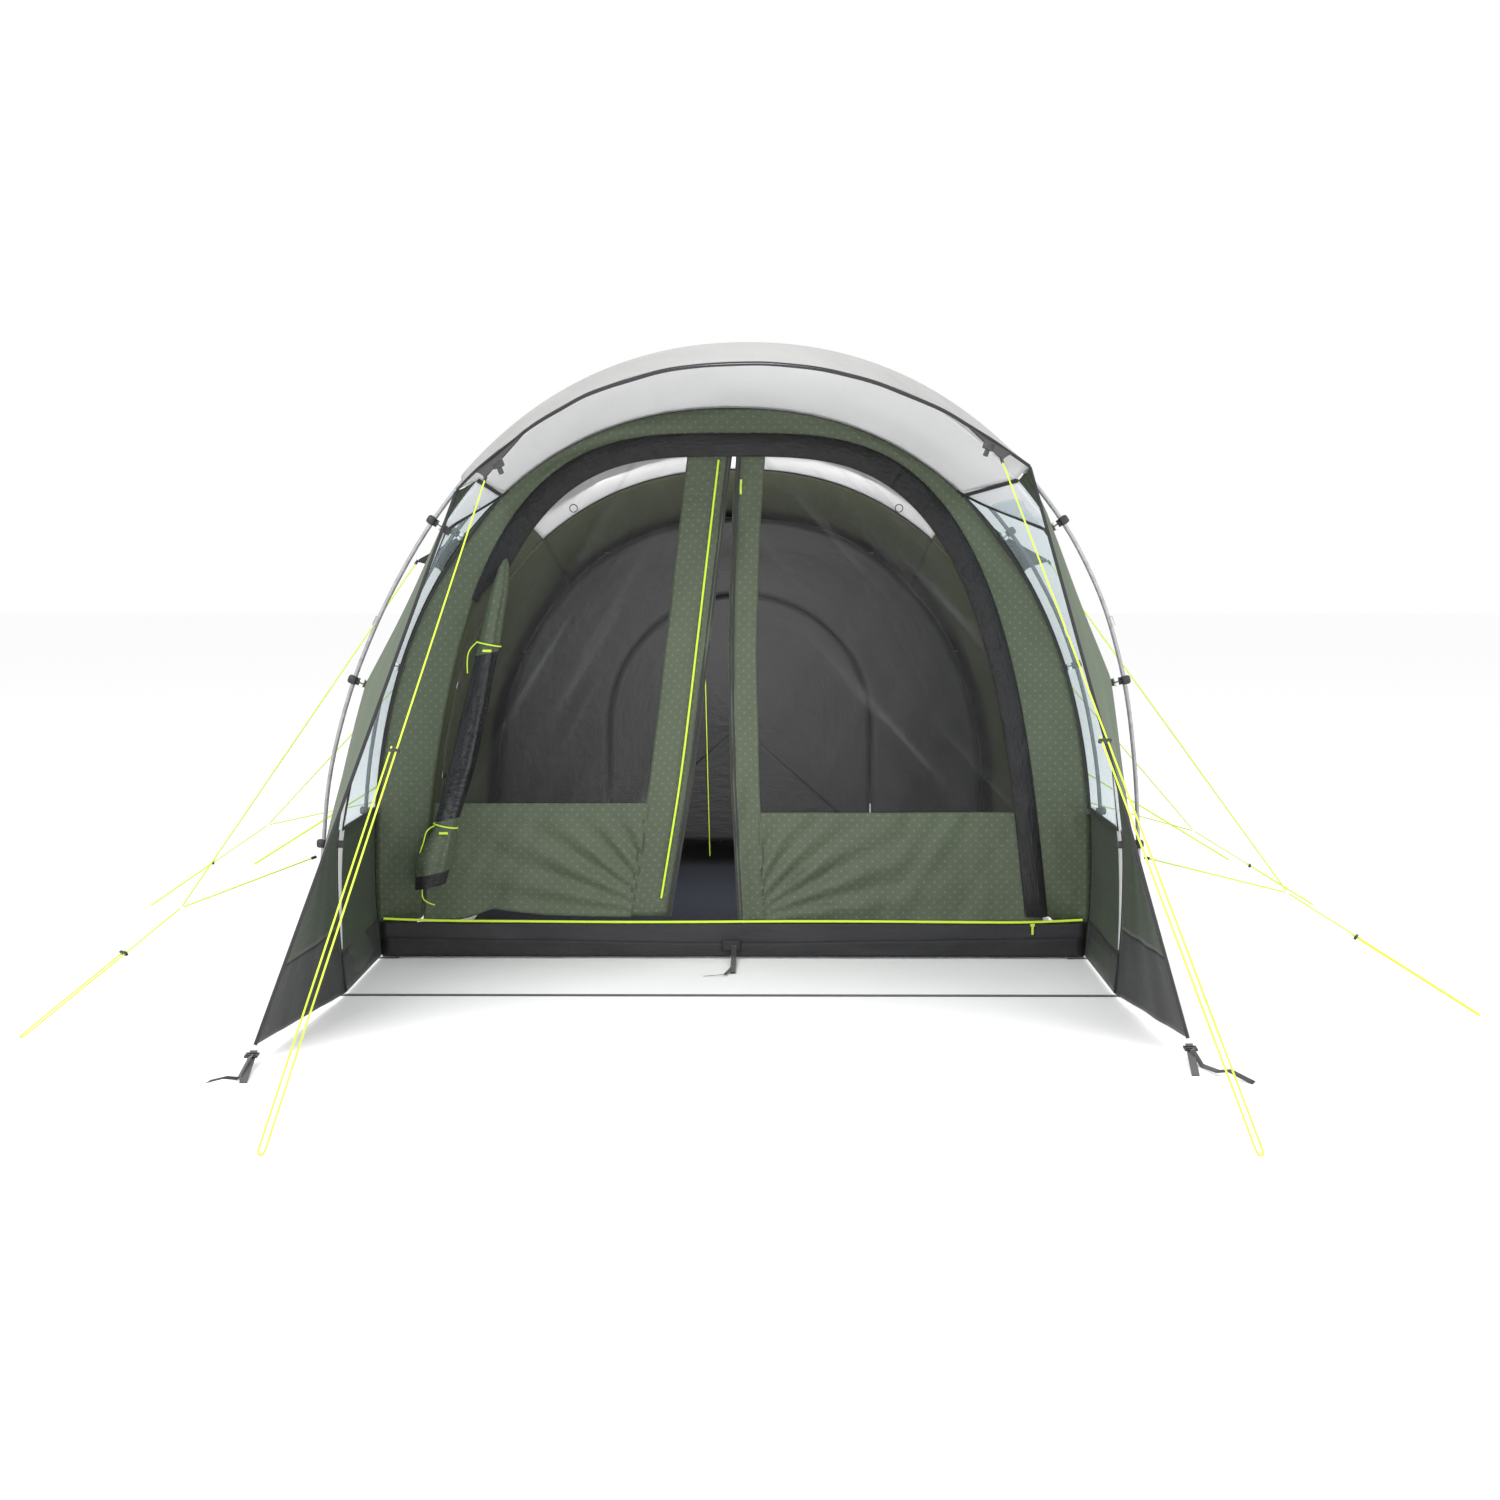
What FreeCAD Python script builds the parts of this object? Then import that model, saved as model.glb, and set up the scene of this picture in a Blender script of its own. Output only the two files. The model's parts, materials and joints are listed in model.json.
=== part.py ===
import FreeCAD, Part
import math
import os

os.makedirs("parts", exist_ok=True)

# Tunnel tent with a porch. X points right, Y to the rear, Z up. Stations along the tunnel
# are counted from the front pole, and the whole model is moved to its own centre at the end.

V = FreeCAD.Vector

# Driving dimensions, in millimetres.
STATION_A = 0.0          # front pole
STATION_B = 590.0        # pole in the plane of the front wall
STATION_C = 1870.0       # middle pole
STATION_D = 3200.0       # rear pole
STATION_E = 4550.0       # rear hem on the ground
FRONT_END = -1050.0      # ends of the front corner webbing
REAR_END = 4650.0        # ends of the rear corner webbing
CLOTH = 2.0              # thickness of a cloth solid
POLE_R = 6.5             # pole tube radius
SEAM_A_Z = 1540.0        # height of the roof seam at each station
SEAM_B_Z = 1520.0
SEAM_C_Z = 1400.0
SEAM_D_Z = 1180.0
WINDOW_SILL_Z = 500.0
VISOR_DEPTH = 400.0      # overhang of the visor in front of the front pole
VISOR_CORNER_DEPTH = 80.0
VISOR_DROP = 70.0
CORD_R = 2.25            # guy line radius
CORD_LEG = 16.0          # spacing of the two legs below a runner
KNOT_R = 7.0
DOOR_FOOT_Z = 140.0
DOOR_RISE = 1570.0
DOOR_HALF = 1031.0
DOOR_TAPER = 0.17
DOOR_POWER = 3.4
BAND_W = 70.0            # width of the storm flap round the doorway
SILL_Z = 120.0           # height of the black sill under the door
FLAP_END_Z = 1180.0      # height where the storm flap ends on the left, above the rolled door
INNER_Y = 2600.0         # front of the bedroom
RING_BORE_R = 8.0        # pegging rings at the pole feet
RING_OUTER_R = 14.0
RING_THICK = 4.0
RING_REACH = 68.0        # centre of a ring outward of the pole foot, clear of the clips above
RING_BACK = 26.0         # and to the rear of it, clear of the guy lines above

NODES = {}


def add(name, *solids):
    """Store one node as a solid or as a group of separate solids."""
    NODES.setdefault(name, []).extend(solids)


# ---------------------------------------------------------------- arches

class Arch:
    """A cross-section of the tunnel: a superellipse on short, slightly tucked-in legs.

    Lean moves the shoulders and the crown sideways and leaves the feet where they are.
    """

    FOOT_ANGLE = 30.0
    LEAN_FROM_Z = 460.0
    LEAN_OVER = 960.0

    def __init__(self, y, half, knee, rise, power, foot, lean=0.0):
        self.y = y
        self.half = half
        self.knee = knee
        self.rise = rise
        self.power = power
        self.foot = foot
        self.lean = lean

    def xz(self, angle):
        """Angle 0 is the crown, 90 the knee and 120 the foot; the sign is the side."""
        side = -1.0 if angle < 0 else 1.0
        size = abs(angle)
        if size <= 90.0:
            exponent = 2.0 / self.power
            x = self.half * math.sin(math.radians(size)) ** exponent
            z = self.knee + self.rise * max(math.cos(math.radians(size)), 0.0) ** exponent
        else:
            share = (size - 90.0) / self.FOOT_ANGLE
            x = self.half + (self.foot - self.half) * share ** 2
            z = self.knee * (1.0 - share)
        up = min(max((z - self.LEAN_FROM_Z) / self.LEAN_OVER, 0.0), 1.0)
        return side * x + self.lean * up * up * (3.0 - 2.0 * up), z

    def angle_at(self, z):
        """Angle on the right-hand side at a height."""
        if z >= self.knee:
            return math.degrees(math.acos(((z - self.knee) / self.rise) ** (self.power / 2.0)))
        return 90.0 + self.FOOT_ANGLE * (1.0 - z / self.knee)

    def normal(self, angle):
        """Unit vector pointing out of the tunnel, in the plane of the arch."""
        step = 0.5
        x0, z0 = self.xz(angle - step)
        x1, z1 = self.xz(angle + step)
        size = math.hypot(x1 - x0, z1 - z0)
        return V(-(z1 - z0) / size, 0.0, (x1 - x0) / size)

    def point(self, angle, offset=0.0):
        x, z = self.xz(angle)
        return V(x, self.y, z) + self.normal(angle) * offset

    def grown(self, side, top):
        """The same arch moved out by different amounts at the sides and the crown."""
        return Arch(self.y, self.half + side, self.knee, self.rise + top, self.power,
                    self.foot + side, self.lean)


SKIN_A = Arch(STATION_A, 1176.0, 350.0, 1555.0, 2.12, 1158.0, 53.0)
SKIN_B = Arch(STATION_B, 1180.0, 300.0, 1500.0, 2.2, 1165.0)
SKIN_C = Arch(STATION_C, 1165.0, 300.0, 1370.0, 2.2, 1150.0)
SKIN_D = Arch(STATION_D, 1080.0, 280.0, 1200.0, 2.2, 1065.0)
SKIN_E = Arch(STATION_E, 800.0, 12.0, 60.0, 4.0, 798.0)
POLE_A = SKIN_A.grown(46.0, 22.0)
POLE_B = SKIN_B.grown(34.0, 36.0)
POLE_C = SKIN_C.grown(28.0, 16.0)
POLE_D = SKIN_D.grown(26.0, 16.0)
POLES = {"a": POLE_A, "b": POLE_B, "c": POLE_C, "d": POLE_D}
SKINS = {"a": SKIN_A, "b": SKIN_B, "c": SKIN_C, "d": SKIN_D}
CLIP_HEIGHTS = {"a": (1420.0, 950.0, 460.0), "b": (1400.0, 970.0, 490.0),
                "c": (1190.0, 840.0, 480.0), "d": (1000.0, 590.0, 340.0)}


def spread(first, last, count):
    """Evenly spaced numbers, ends included."""
    return [first + (last - first) * i / (count - 1) for i in range(count)]


# ---------------------------------------------------------------- solids

def polyhedron(corners, faces):
    """A closed solid from flat faces given as lists of corner numbers."""
    made = []
    for face in faces:
        loop = [corners[i] for i in face]
        made.append(Part.Face(Part.makePolygon(loop + [loop[0]])))
    shell = Part.makeShell(made)
    shell.sewShape()
    solid = Part.makeSolid(Part.Shell(shell.Faces) if shell.ShapeType != "Shell" else shell)
    if solid.Volume < 0:
        solid.reverse()
    return solid


def thin_grid(outer, inner):
    """A thin solid between two equal grids of points, split into triangles."""
    rows, cols = len(outer), len(outer[0])
    corners = [p for row in outer for p in row] + [p for row in inner for p in row]
    back = rows * cols

    def at(i, j):
        return i * cols + j

    faces = []
    for i in range(rows - 1):
        for j in range(cols - 1):
            a, b, c, d = at(i, j), at(i, j + 1), at(i + 1, j + 1), at(i + 1, j)
            faces += [[a, b, c], [a, c, d]]
            faces += [[back + c, back + b, back + a], [back + d, back + c, back + a]]
    rim = [at(0, j) for j in range(cols)] + [at(i, cols - 1) for i in range(1, rows)]
    rim += [at(rows - 1, j) for j in range(cols - 2, -1, -1)]
    rim += [at(i, 0) for i in range(rows - 2, 0, -1)]
    for a, b in zip(rim, rim[1:] + rim[:1]):
        faces += [[b, a, back + a], [b, back + a, back + b]]
    return polyhedron(corners, faces)


def skin_panel(front, rear, front_angles, rear_angles):
    """A cloth panel between two arches, its seams flush with the panels beside it."""
    outer = [[front.point(a) for a in front_angles], [rear.point(a) for a in rear_angles]]
    inner = [[front.point(a, -CLOTH) for a in front_angles],
             [rear.point(a, -CLOTH) for a in rear_angles]]
    return thin_grid(outer, inner)


def flat_plate(outline, y, thick):
    """A plate in the XZ plane from a list of (x, z) corners, growing to the rear."""
    loop = [V(x, y, z) for x, z in outline]
    return Part.Face(Part.makePolygon(loop + [loop[0]])).extrude(V(0, thick, 0))


def rod(start, end, radius):
    """A round bar between two points."""
    return Part.makeCylinder(radius, (end - start).Length, start, end - start)


def rounded_path(points, radii):
    """Straight runs joined by tangent arcs, one radius for each inner point."""
    edges = []
    last = points[0]
    for before, corner, after, radius in zip(points, points[1:], points[2:], radii):
        into = (corner - before).normalize()
        out = (after - corner).normalize()
        half = into.getAngle(out) / 2.0
        trim = radius * math.tan(half)
        start, end = corner - into * trim, corner + out * trim
        bisector = (out - into).normalize()
        middle = corner + bisector * (radius / math.cos(half) - radius)
        edges.append(Part.LineSegment(last, start).toShape())
        edges.append(Part.Arc(start, middle, end).toShape())
        last = end
    edges.append(Part.LineSegment(last, points[-1]).toShape())
    return Part.Wire(edges)


def widest_radii(points):
    """For each inner point, the widest arc that its two runs allow."""
    radii = []
    for before, corner, after in zip(points, points[1:], points[2:]):
        shorter = min((corner - before).Length, (after - corner).Length)
        turn = (corner - before).getAngle(after - corner)
        radii.append(0.45 * shorter / math.tan(turn / 2.0))
    return radii


def tube(path, start, direction, radius):
    """A round solid swept along a path."""
    circle = Part.Wire(Part.makeCircle(radius, start, direction))
    return path.makePipeShell([circle], True, False)


# ---------------------------------------------------------------- poles

def pole(arch):
    angles = spread(-119.4, 119.4, 25)
    points = [arch.point(a) for a in angles]
    path = rounded_path(points, widest_radii(points))
    return tube(path, points[0], points[1] - points[0], POLE_R)


def ferrules(arch):
    """Sleeves where the pole sections join."""
    sleeves = []
    for angle in (-98.0, -62.0, -32.0, 32.0, 62.0, 98.0):
        here = arch.point(angle)
        ahead = (arch.point(angle + 0.3) - arch.point(angle - 0.3)).normalize()
        body = rod(here - ahead * 14.0, here + ahead * 14.0, POLE_R + 1.2)
        sleeves.append(body.cut(rod(here - ahead * 20.0, here + ahead * 20.0, POLE_R + 0.25)))
    return sleeves


def foot_ring(arch, side):
    """A pegging ring with the pin that stands in the end of the pole."""
    foot = arch.point(side * 119.4)
    centre = V(foot.x + side * RING_REACH, foot.y + RING_BACK, 0)
    away = centre - V(foot.x, foot.y, 0)
    ring = Part.makeCylinder(RING_OUTER_R, RING_THICK, centre)
    bridge = Part.makeBox(away.Length - RING_BORE_R, 14.0, RING_THICK, V(-6.0, -7.0, 0))
    bridge.rotate(V(0, 0, 0), V(0, 0, 1), math.degrees(math.atan2(away.y, away.x)))
    bridge.translate(V(foot.x, foot.y, 0))
    pin_height = foot.z - POLE_R * 0.2 - RING_THICK
    pin = Part.makeCylinder(POLE_R - 1.0, pin_height, V(foot.x, foot.y, RING_THICK))
    hole = Part.makeCylinder(RING_BORE_R, RING_THICK * 3, centre - V(0, 0, RING_THICK))
    return ring.fuse(bridge).cut(hole).fuse(pin).removeSplitter()


def clip(arch, skin, height, side):
    """A clip round the pole and the short tab that joins it to the cloth."""
    angle = side * arch.angle_at(height)
    centre = arch.point(angle)
    outward = arch.normal(angle)
    along = V(-outward.z, 0, outward.x)
    shell = rod(centre - along * 11.0, centre + along * 11.0, POLE_R + 5.0)
    shell = shell.cut(rod(centre - along * 12.0, centre + along * 12.0, POLE_R + 0.3))
    skin_point = min((skin.point(side * a / 4.0) for a in range(0, 479)),
                     key=lambda p: (p - centre).Length)
    inward = (skin_point - centre).normalize()
    reach = (skin_point - centre).Length - 1.2
    start = POLE_R + 4.0
    tab = Part.makeBox(reach - start, 20.0, 3.0, V(start, -10.0, -1.5))
    tab.rotate(V(0, 0, 0), V(0, 1, 0), math.degrees(math.atan2(-inward.z, inward.x)))
    tab.translate(centre)
    return shell.fuse(tab).removeSplitter()


def build_poles():
    for name, arch in POLES.items():
        add("pole_" + name, pole(arch))
        add("pole_ferrules", *ferrules(arch))
        for side in (-1, 1):
            add("foot_rings", foot_ring(arch, side))
            for height in CLIP_HEIGHTS[name]:
                add("pole_clips", clip(arch, SKINS[name], height, side))


# ---------------------------------------------------------------- outer cloth

ROOF_POINTS = 17
SIDE_POINTS = 11
SIDES = {"left": -1.0, "right": 1.0}
LEFT_RIGHT = tuple(SIDES.items())


def build_roof():
    seams = [(SKIN_A, SEAM_A_Z), (SKIN_B, SEAM_B_Z), (SKIN_C, SEAM_C_Z), (SKIN_D, SEAM_D_Z)]
    names = ("roof_front", "roof_living", "roof_bedroom")
    for name, (front, front_z), (rear, rear_z) in zip(names, seams, seams[1:]):
        a, b = front.angle_at(front_z), rear.angle_at(rear_z)
        add(name, skin_panel(front, rear, spread(-a, a, ROOF_POINTS), spread(-b, b, ROOF_POINTS)))
    low = 119.0
    add("rear_panel", skin_panel(SKIN_D, SKIN_E, spread(-low, low, 25), spread(-low, low, 25)))


def side_panel(front, front_zs, rear, rear_zs, side):
    """A cloth panel on one side, between an upper and a lower height on each arch."""
    front_angles = spread(front.angle_at(front_zs[0]), front.angle_at(front_zs[1]), SIDE_POINTS)
    rear_angles = spread(rear.angle_at(rear_zs[0]), rear.angle_at(rear_zs[1]), SIDE_POINTS)
    return skin_panel(front, rear, [side * a for a in front_angles], [side * a for a in rear_angles])


def build_sides():
    hem = 6.0
    for word, side in LEFT_RIGHT:
        sill = (WINDOW_SILL_Z, hem)
        add("window_" + word, side_panel(SKIN_A, (SEAM_A_Z, WINDOW_SILL_Z),
                                         SKIN_B, (SEAM_B_Z, WINDOW_SILL_Z), side))
        add("porch_side_" + word, side_panel(SKIN_A, sill, SKIN_B, sill, side))
        add("living_side_" + word, side_panel(SKIN_B, (SEAM_B_Z, hem), SKIN_C, (SEAM_C_Z, hem), side))
        add("bedroom_side_" + word, side_panel(SKIN_C, (SEAM_C_Z, hem), SKIN_D, (SEAM_D_Z, hem), side))


VISOR_PULL = {-1.0: V(-53.0, 0.0, -35.0), 1.0: V(27.0, 0.0, 35.0)}     # uneven pitch of its corners


def visor_point(share, forward, offset):
    """A point on the visor: share runs -1 to 1 across, forward 0 to 1 to the front edge."""
    angle = SKIN_A.angle_at(SEAM_A_Z) * share
    pull = VISOR_PULL[-1.0 if share < 0 else 1.0] * (abs(share) ** 4 * forward)
    swell = math.cos(math.radians(90.0 * share)) ** 0.8
    depth = VISOR_CORNER_DEPTH + (VISOR_DEPTH - VISOR_CORNER_DEPTH) * swell
    return SKIN_A.point(angle, offset) + V(0, -depth * forward, -VISOR_DROP * swell * forward) + pull


def build_visor():
    shares = spread(-1.0, 1.0, ROOF_POINTS)
    steps = (1.0, 0.5, 0.0)
    outer = [[visor_point(s, f, 0.0) for s in shares] for f in steps]
    inner = [[visor_point(s, f, -CLOTH) for s in shares] for f in steps]
    add("visor", thin_grid(outer, inner))


WING_TIPS = {"left": V(1222.0, -812.0, 40.0), "right": V(1222.0, -720.0, 40.0)}
WEBBING_ENDS = {"left": V(-1193.0, FRONT_END, 0.0), "right": V(1191.0, -964.0, 0.0)}
WING_HEM_Z = 6.0


def wing_grid(side, tip, inset):
    """Rows of points from the front pole to the straight front edge of a wing."""
    corner = mirrored(visor_point(side, 1.0, 0.0), side) - V(0, 0, 6.0)
    rows = []
    for down in spread(0.0, 1.0, 9):
        z = (SEAM_A_Z - 4.0) + (WING_HEM_Z - SEAM_A_Z + 4.0) * down
        back = mirrored(SKIN_A.point(side * SKIN_A.angle_at(z)), side) - V(0, 1.0, 0)
        front = corner + (tip - corner) * down
        row = []
        for share in spread(0.0, 1.0, 4):
            p = back + (front - back) * share
            bulge = 22.0 * math.sin(math.pi * share) * math.sin(math.pi * min(down * 1.2, 1.0))
            row.append(V(side * (p.x + bulge - inset), p.y, p.z))
        rows.append(row)
    return rows


def build_wings():
    for word, side in LEFT_RIGHT:
        tip = WING_TIPS[word]
        add("wing_" + word, thin_grid(wing_grid(side, tip, 0.0), wing_grid(side, tip, CLOTH)))


# ---------------------------------------------------------------- front wall and doors

def door_half(z, inset=0.0):
    """Half-width of the doorway at a height; inset moves the outline inwards."""
    rise = DOOR_RISE - inset
    u = min(max((z - DOOR_FOOT_Z) / rise, 0.0), 1.0)
    return (DOOR_HALF - inset) * (1.0 - DOOR_TAPER * u) * (1.0 - u ** DOOR_POWER) ** (1.0 / DOOR_POWER)


def door_arch(inset, count=11):
    """Right-hand outline of the doorway from the sill to the apex."""
    rise = DOOR_RISE - inset
    outline = []
    for turn in spread(0.0, 90.0, count):
        u = math.sin(math.radians(turn)) ** (2.0 / DOOR_POWER)
        z = DOOR_FOOT_Z + rise * u
        outline.append((door_half(z, inset) if turn < 90.0 else 0.0, z))
    return outline


def both_sides(outline):
    """Mirror a right-hand outline that ends on the centre plane."""
    return outline + [(-x, z) for x, z in reversed(outline[:-1])]


def build_front_wall():
    edge = CLOTH + 5.0
    angles = spread(-SKIN_B.angle_at(SILL_Z), SKIN_B.angle_at(SILL_Z), 41)
    skin = [SKIN_B.point(a, -edge) for a in angles]
    opening = both_sides(door_arch(0.0))
    wall = flat_plate([(p.x, p.z) for p in skin], STATION_B, CLOTH)
    hole = flat_plate(opening + [(-DOOR_HALF, SILL_Z - 5.0), (DOOR_HALF, SILL_Z - 5.0)],
                      STATION_B - 5.0, CLOTH + 10.0)
    add("front_wall", wall.cut(hole))
    foot_half = SKIN_B.point(SKIN_B.angle_at(60.0)).x - 12.0
    sill = Part.makeBox(2.0 * foot_half, CLOTH, SILL_Z - 6.5, V(-foot_half, STATION_B, 6.0))
    add("door_sill", sill)


def build_storm_flap():
    """The band that covers the zip, from the top of the rolled door over the arch to the right foot."""
    outer = both_sides(door_arch(-6.0))
    inner = both_sides(door_arch(BAND_W))
    y = STATION_B - 1.0 - 6.0
    foot = SILL_Z + 2.0
    ring = flat_plate([(DOOR_HALF + 6.0, foot)] + outer + [(-DOOR_HALF - 6.0, foot)], y, 6.0)
    room = flat_plate([(DOOR_HALF - BAND_W, foot - 9.0)] + inner + [(BAND_W - DOOR_HALF, foot - 9.0)],
                      y - 5.0, 16.0)
    rolled = Part.makeBox(DOOR_HALF + 20.0, 16.0, FLAP_END_Z, V(-DOOR_HALF - 20.0, y - 5.0, 0))
    add("storm_flap", ring.cut(room).cut(rolled))


DOOR_Y = STATION_B + 6.0
DOOR_THICK = 4.0
LEFT_EDGE = ((0.0, 1600.0), (-80.0, 980.0), (-128.0, 590.0), (-200.0, 150.0))
RIGHT_EDGE_X = 16.0
DOOR_GAP = 14.0          # clearance of a mesh door inside the doorway outline


def build_doors():
    """Two insect-mesh doors that meet in the middle, the left one pulled a little open."""
    top = DOOR_FOOT_Z + DOOR_RISE - DOOR_GAP
    foot = SILL_Z + 12.0
    jamb = [(x, z) for x, z in door_arch(DOOR_GAP, 13) if x > 40.0]
    right = [(RIGHT_EDGE_X, foot), (jamb[0][0], foot)] + jamb + [(RIGHT_EDGE_X, top - 3.0)]
    add("mesh_door_right", flat_plate(right, DOOR_Y, DOOR_THICK))
    left = [(-jamb[0][0], foot)] + [(-x, z) for x, z in jamb] + [(-6.0, top - 3.0)]
    left += [(x - 6.0, max(z, foot)) for x, z in LEFT_EDGE]
    add("mesh_door_left", flat_plate(left, DOOR_Y, DOOR_THICK))


ROLL_PATH = (V(-728.0, 0, 1310.0), V(-750.0, 0, 1200.0), V(-783.0, 0, 1038.0), V(-822.0, 0, 860.0),
             V(-868.0, 0, 650.0), V(-930.0, 0, 450.0), V(-972.0, 0, 340.0), V(-985.0, 0, 250.0))
ROLL_R = (14.0, 30.0, 36.0, 40.0, 44.0, 36.0, 62.0, 50.0)
TIED_STATIONS = (2, 5)
ROLL_Y = STATION_B - 76.0


def build_rolled_door():
    """The outer door, rolled up against the left jamb, and its two ties."""
    rings = []
    for centre, radius in zip(ROLL_PATH, ROLL_R):
        circle = Part.makeCircle(radius, V(centre.x, ROLL_Y, centre.z), V(0.2, 0, 1))
        rings.append(Part.Wire(circle))
    add("rolled_outer_door", Part.makeLoft(rings, True, True))
    for i in TIED_STATIONS:
        centre = V(ROLL_PATH[i].x, ROLL_Y, ROLL_PATH[i].z)
        loop = Part.makeTorus(ROLL_R[i] + 2.8, 2.5, centre, V(0.2, 0, 1))
        toggle_at = centre - V(0, ROLL_R[i] + 11.0, 20.0)
        toggle = rod(toggle_at - V(14, 0, 0), toggle_at + V(14, 0, 0), 4.0)
        add("roll_ties", loop, toggle)


TOP_SLIDER_Z = 1560.0
SILL_SLIDER_X = 985.0


def zip_slider(centre, along, pull):
    """A zip slider with a pull tab hanging from it."""
    body = Part.makeBox(14.0, 5.0, 9.0, centre - V(7.0, 2.5, 4.5))
    if abs(along.z) > 0.5:
        body.rotate(centre, V(0, 1, 0), 90)
    tab = Part.makeBox(7.0, 2.4, pull, centre - V(3.5, 1.2, pull + 2.0))
    return body.fuse(tab).removeSplitter()


def build_sliders():
    y = DOOR_Y - 3.2
    add("door_zip_slider", zip_slider(V(RIGHT_EDGE_X + 11.0, y, TOP_SLIDER_Z), V(0, 0, 1), 38.0))
    add("sill_zip_slider", zip_slider(V(SILL_SLIDER_X, STATION_B - 14.0, SILL_Z - 6.0), V(1, 0, 0), 30.0))


# ---------------------------------------------------------------- bedroom and floor

INNER_ARCH = Arch(INNER_Y, 1040.0, 300.0, 1205.0, 2.2, 1030.0)
HANGER_ANGLES = (-60.0, -30.0, 0.0, 30.0, 60.0)
LINE_RING = V(600.0, 1500.0, 1505.0)


GROUNDSHEET_PLAN = ((960.0, STATION_B + 60.0), (960.0, 3600.0), (820.0, STATION_E - 290.0))


def build_inner_tent():
    front = INNER_ARCH
    rear = Arch(STATION_D + 20.0, 990.0, 260.0, 1130.0, 2.2, 980.0)
    end = Arch(STATION_E - 250.0, 780.0, 40.0, 190.0, 2.6, 775.0)
    angles = spread(-118.0, 118.0, 19)
    add("inner_shell", skin_panel(front, rear, angles, angles), skin_panel(rear, end, angles, angles))
    outline = [(p.x, p.z) for p in (front.point(a, -CLOTH - 1.5) for a in angles)]
    wall = flat_plate(outline, INNER_Y - 4.0, CLOTH)
    door = inner_door_outline(0.0)
    gap = inner_door_outline(3.0)
    add("inner_front", wall.cut(flat_plate(door, INNER_Y - 10.0, 20.0)))
    add("inner_door", flat_plate(gap, INNER_Y - 4.0, CLOTH))
    right = [V(x, y, 0.2) for x, y in GROUNDSHEET_PLAN]
    left = [mirrored(p, -1.0) for p in reversed(right)]
    plan = Part.Face(Part.makePolygon(right + left + right[:1]))
    add("groundsheet", plan.extrude(V(0, 0, 2.0)))


def inner_door_outline(inset):
    """A round-topped bedroom door, hinged on its left-hand edge."""
    half, foot, spring = 560.0 - inset, 120.0 + inset, 620.0
    outline = [(-half, foot), (half, foot)]
    for turn in spread(0.0, 180.0, 13):
        outline.append((half * math.cos(math.radians(turn)),
                        spring + half * math.sin(math.radians(turn))))
    return outline


def build_hangers():
    """Toggles that hang the bedroom from the roof, and the two line rings in the living area."""
    for angle in HANGER_ANGLES:
        x, z = INNER_ARCH.xz(angle)
        start = V(x - 14.0, INNER_Y - 14.0, z - 4.0)
        add("hanger_toggles", rod(start, start + V(28.0, 0, 0), 4.0))
    for side in (-1, 1):
        add("hanger_toggles", Part.makeTorus(14.0, 1.8, mirrored(LINE_RING, side), V(0, 1, 0)))


# ---------------------------------------------------------------- webbing and patches

def build_webbing():
    """The strap between the front feet, the short straps of the others and the corner loops."""
    foot = POLE_A.point(119.4).x
    add("base_straps", Part.makeBox(2.0 * (foot - 20.0), 25.0, 1.6, V(20.0 - foot, -12.5, 0)))
    for arch in (POLE_B, POLE_C, POLE_D):
        for side in (-1, 1):
            end = side * (arch.point(119.4).x - 18.0)
            start = side * (arch.point(119.4).x - 98.0)
            add("base_straps", Part.makeBox(80.0, 20.0, 1.6, V(min(start, end), arch.y - 10.0, 0)))
    for word, side in LEFT_RIGHT:
        end = WEBBING_ENDS[word]
        start = webbing_start(word)
        add("corner_webbing", strap_between(start, end, 20.0, 1.6))
        corner = V(side * 805.0, STATION_E + 12.0, 0.0)
        add("corner_webbing", Part.makeBox(20.0, REAR_END - corner.y, 1.6, corner - V(10.0, 0, 0)))


def webbing_start(word):
    """Where the front corner webbing leaves the tip of a wing."""
    return mirrored(WING_TIPS[word], SIDES[word]) + V(0, -14.0, -12.0)


def strap_between(top, end, width, thick):
    """A flat strap falling from a point to the ground at the front corner."""
    wide = V(width / 2.0, 0, 0)
    rise = V(0, 0, thick)
    corners = [top - wide, top + wide, end + wide, end - wide]
    corners += [p + rise for p in corners]
    return polyhedron(corners, [[0, 1, 2, 3], [7, 6, 5, 4], [4, 5, 1, 0], [5, 6, 2, 1],
                                [6, 7, 3, 2], [7, 4, 0, 3]])


def build_adjusters():
    """Ladder-lock buckles lying on the corner webbing."""
    for word in SIDES:
        start, end = webbing_start(word), WEBBING_ENDS[word]
        centre = start + (end - start) * 0.2
        frame = Part.makeBox(34.0, 30.0, 5.0, V(-17.0, -15.0, 2.4))
        for row in (-11.0, 4.0):
            frame = frame.cut(Part.makeBox(24.0, 7.0, 9.0, V(-12.0, row, 0.0)))
        frame.rotate(V(0, 0, 0), V(1, 0, 0), math.degrees(math.atan2(start.z - end.z, start.y - end.y)))
        frame.translate(centre)
        add("corner_adjusters", frame)


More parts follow.
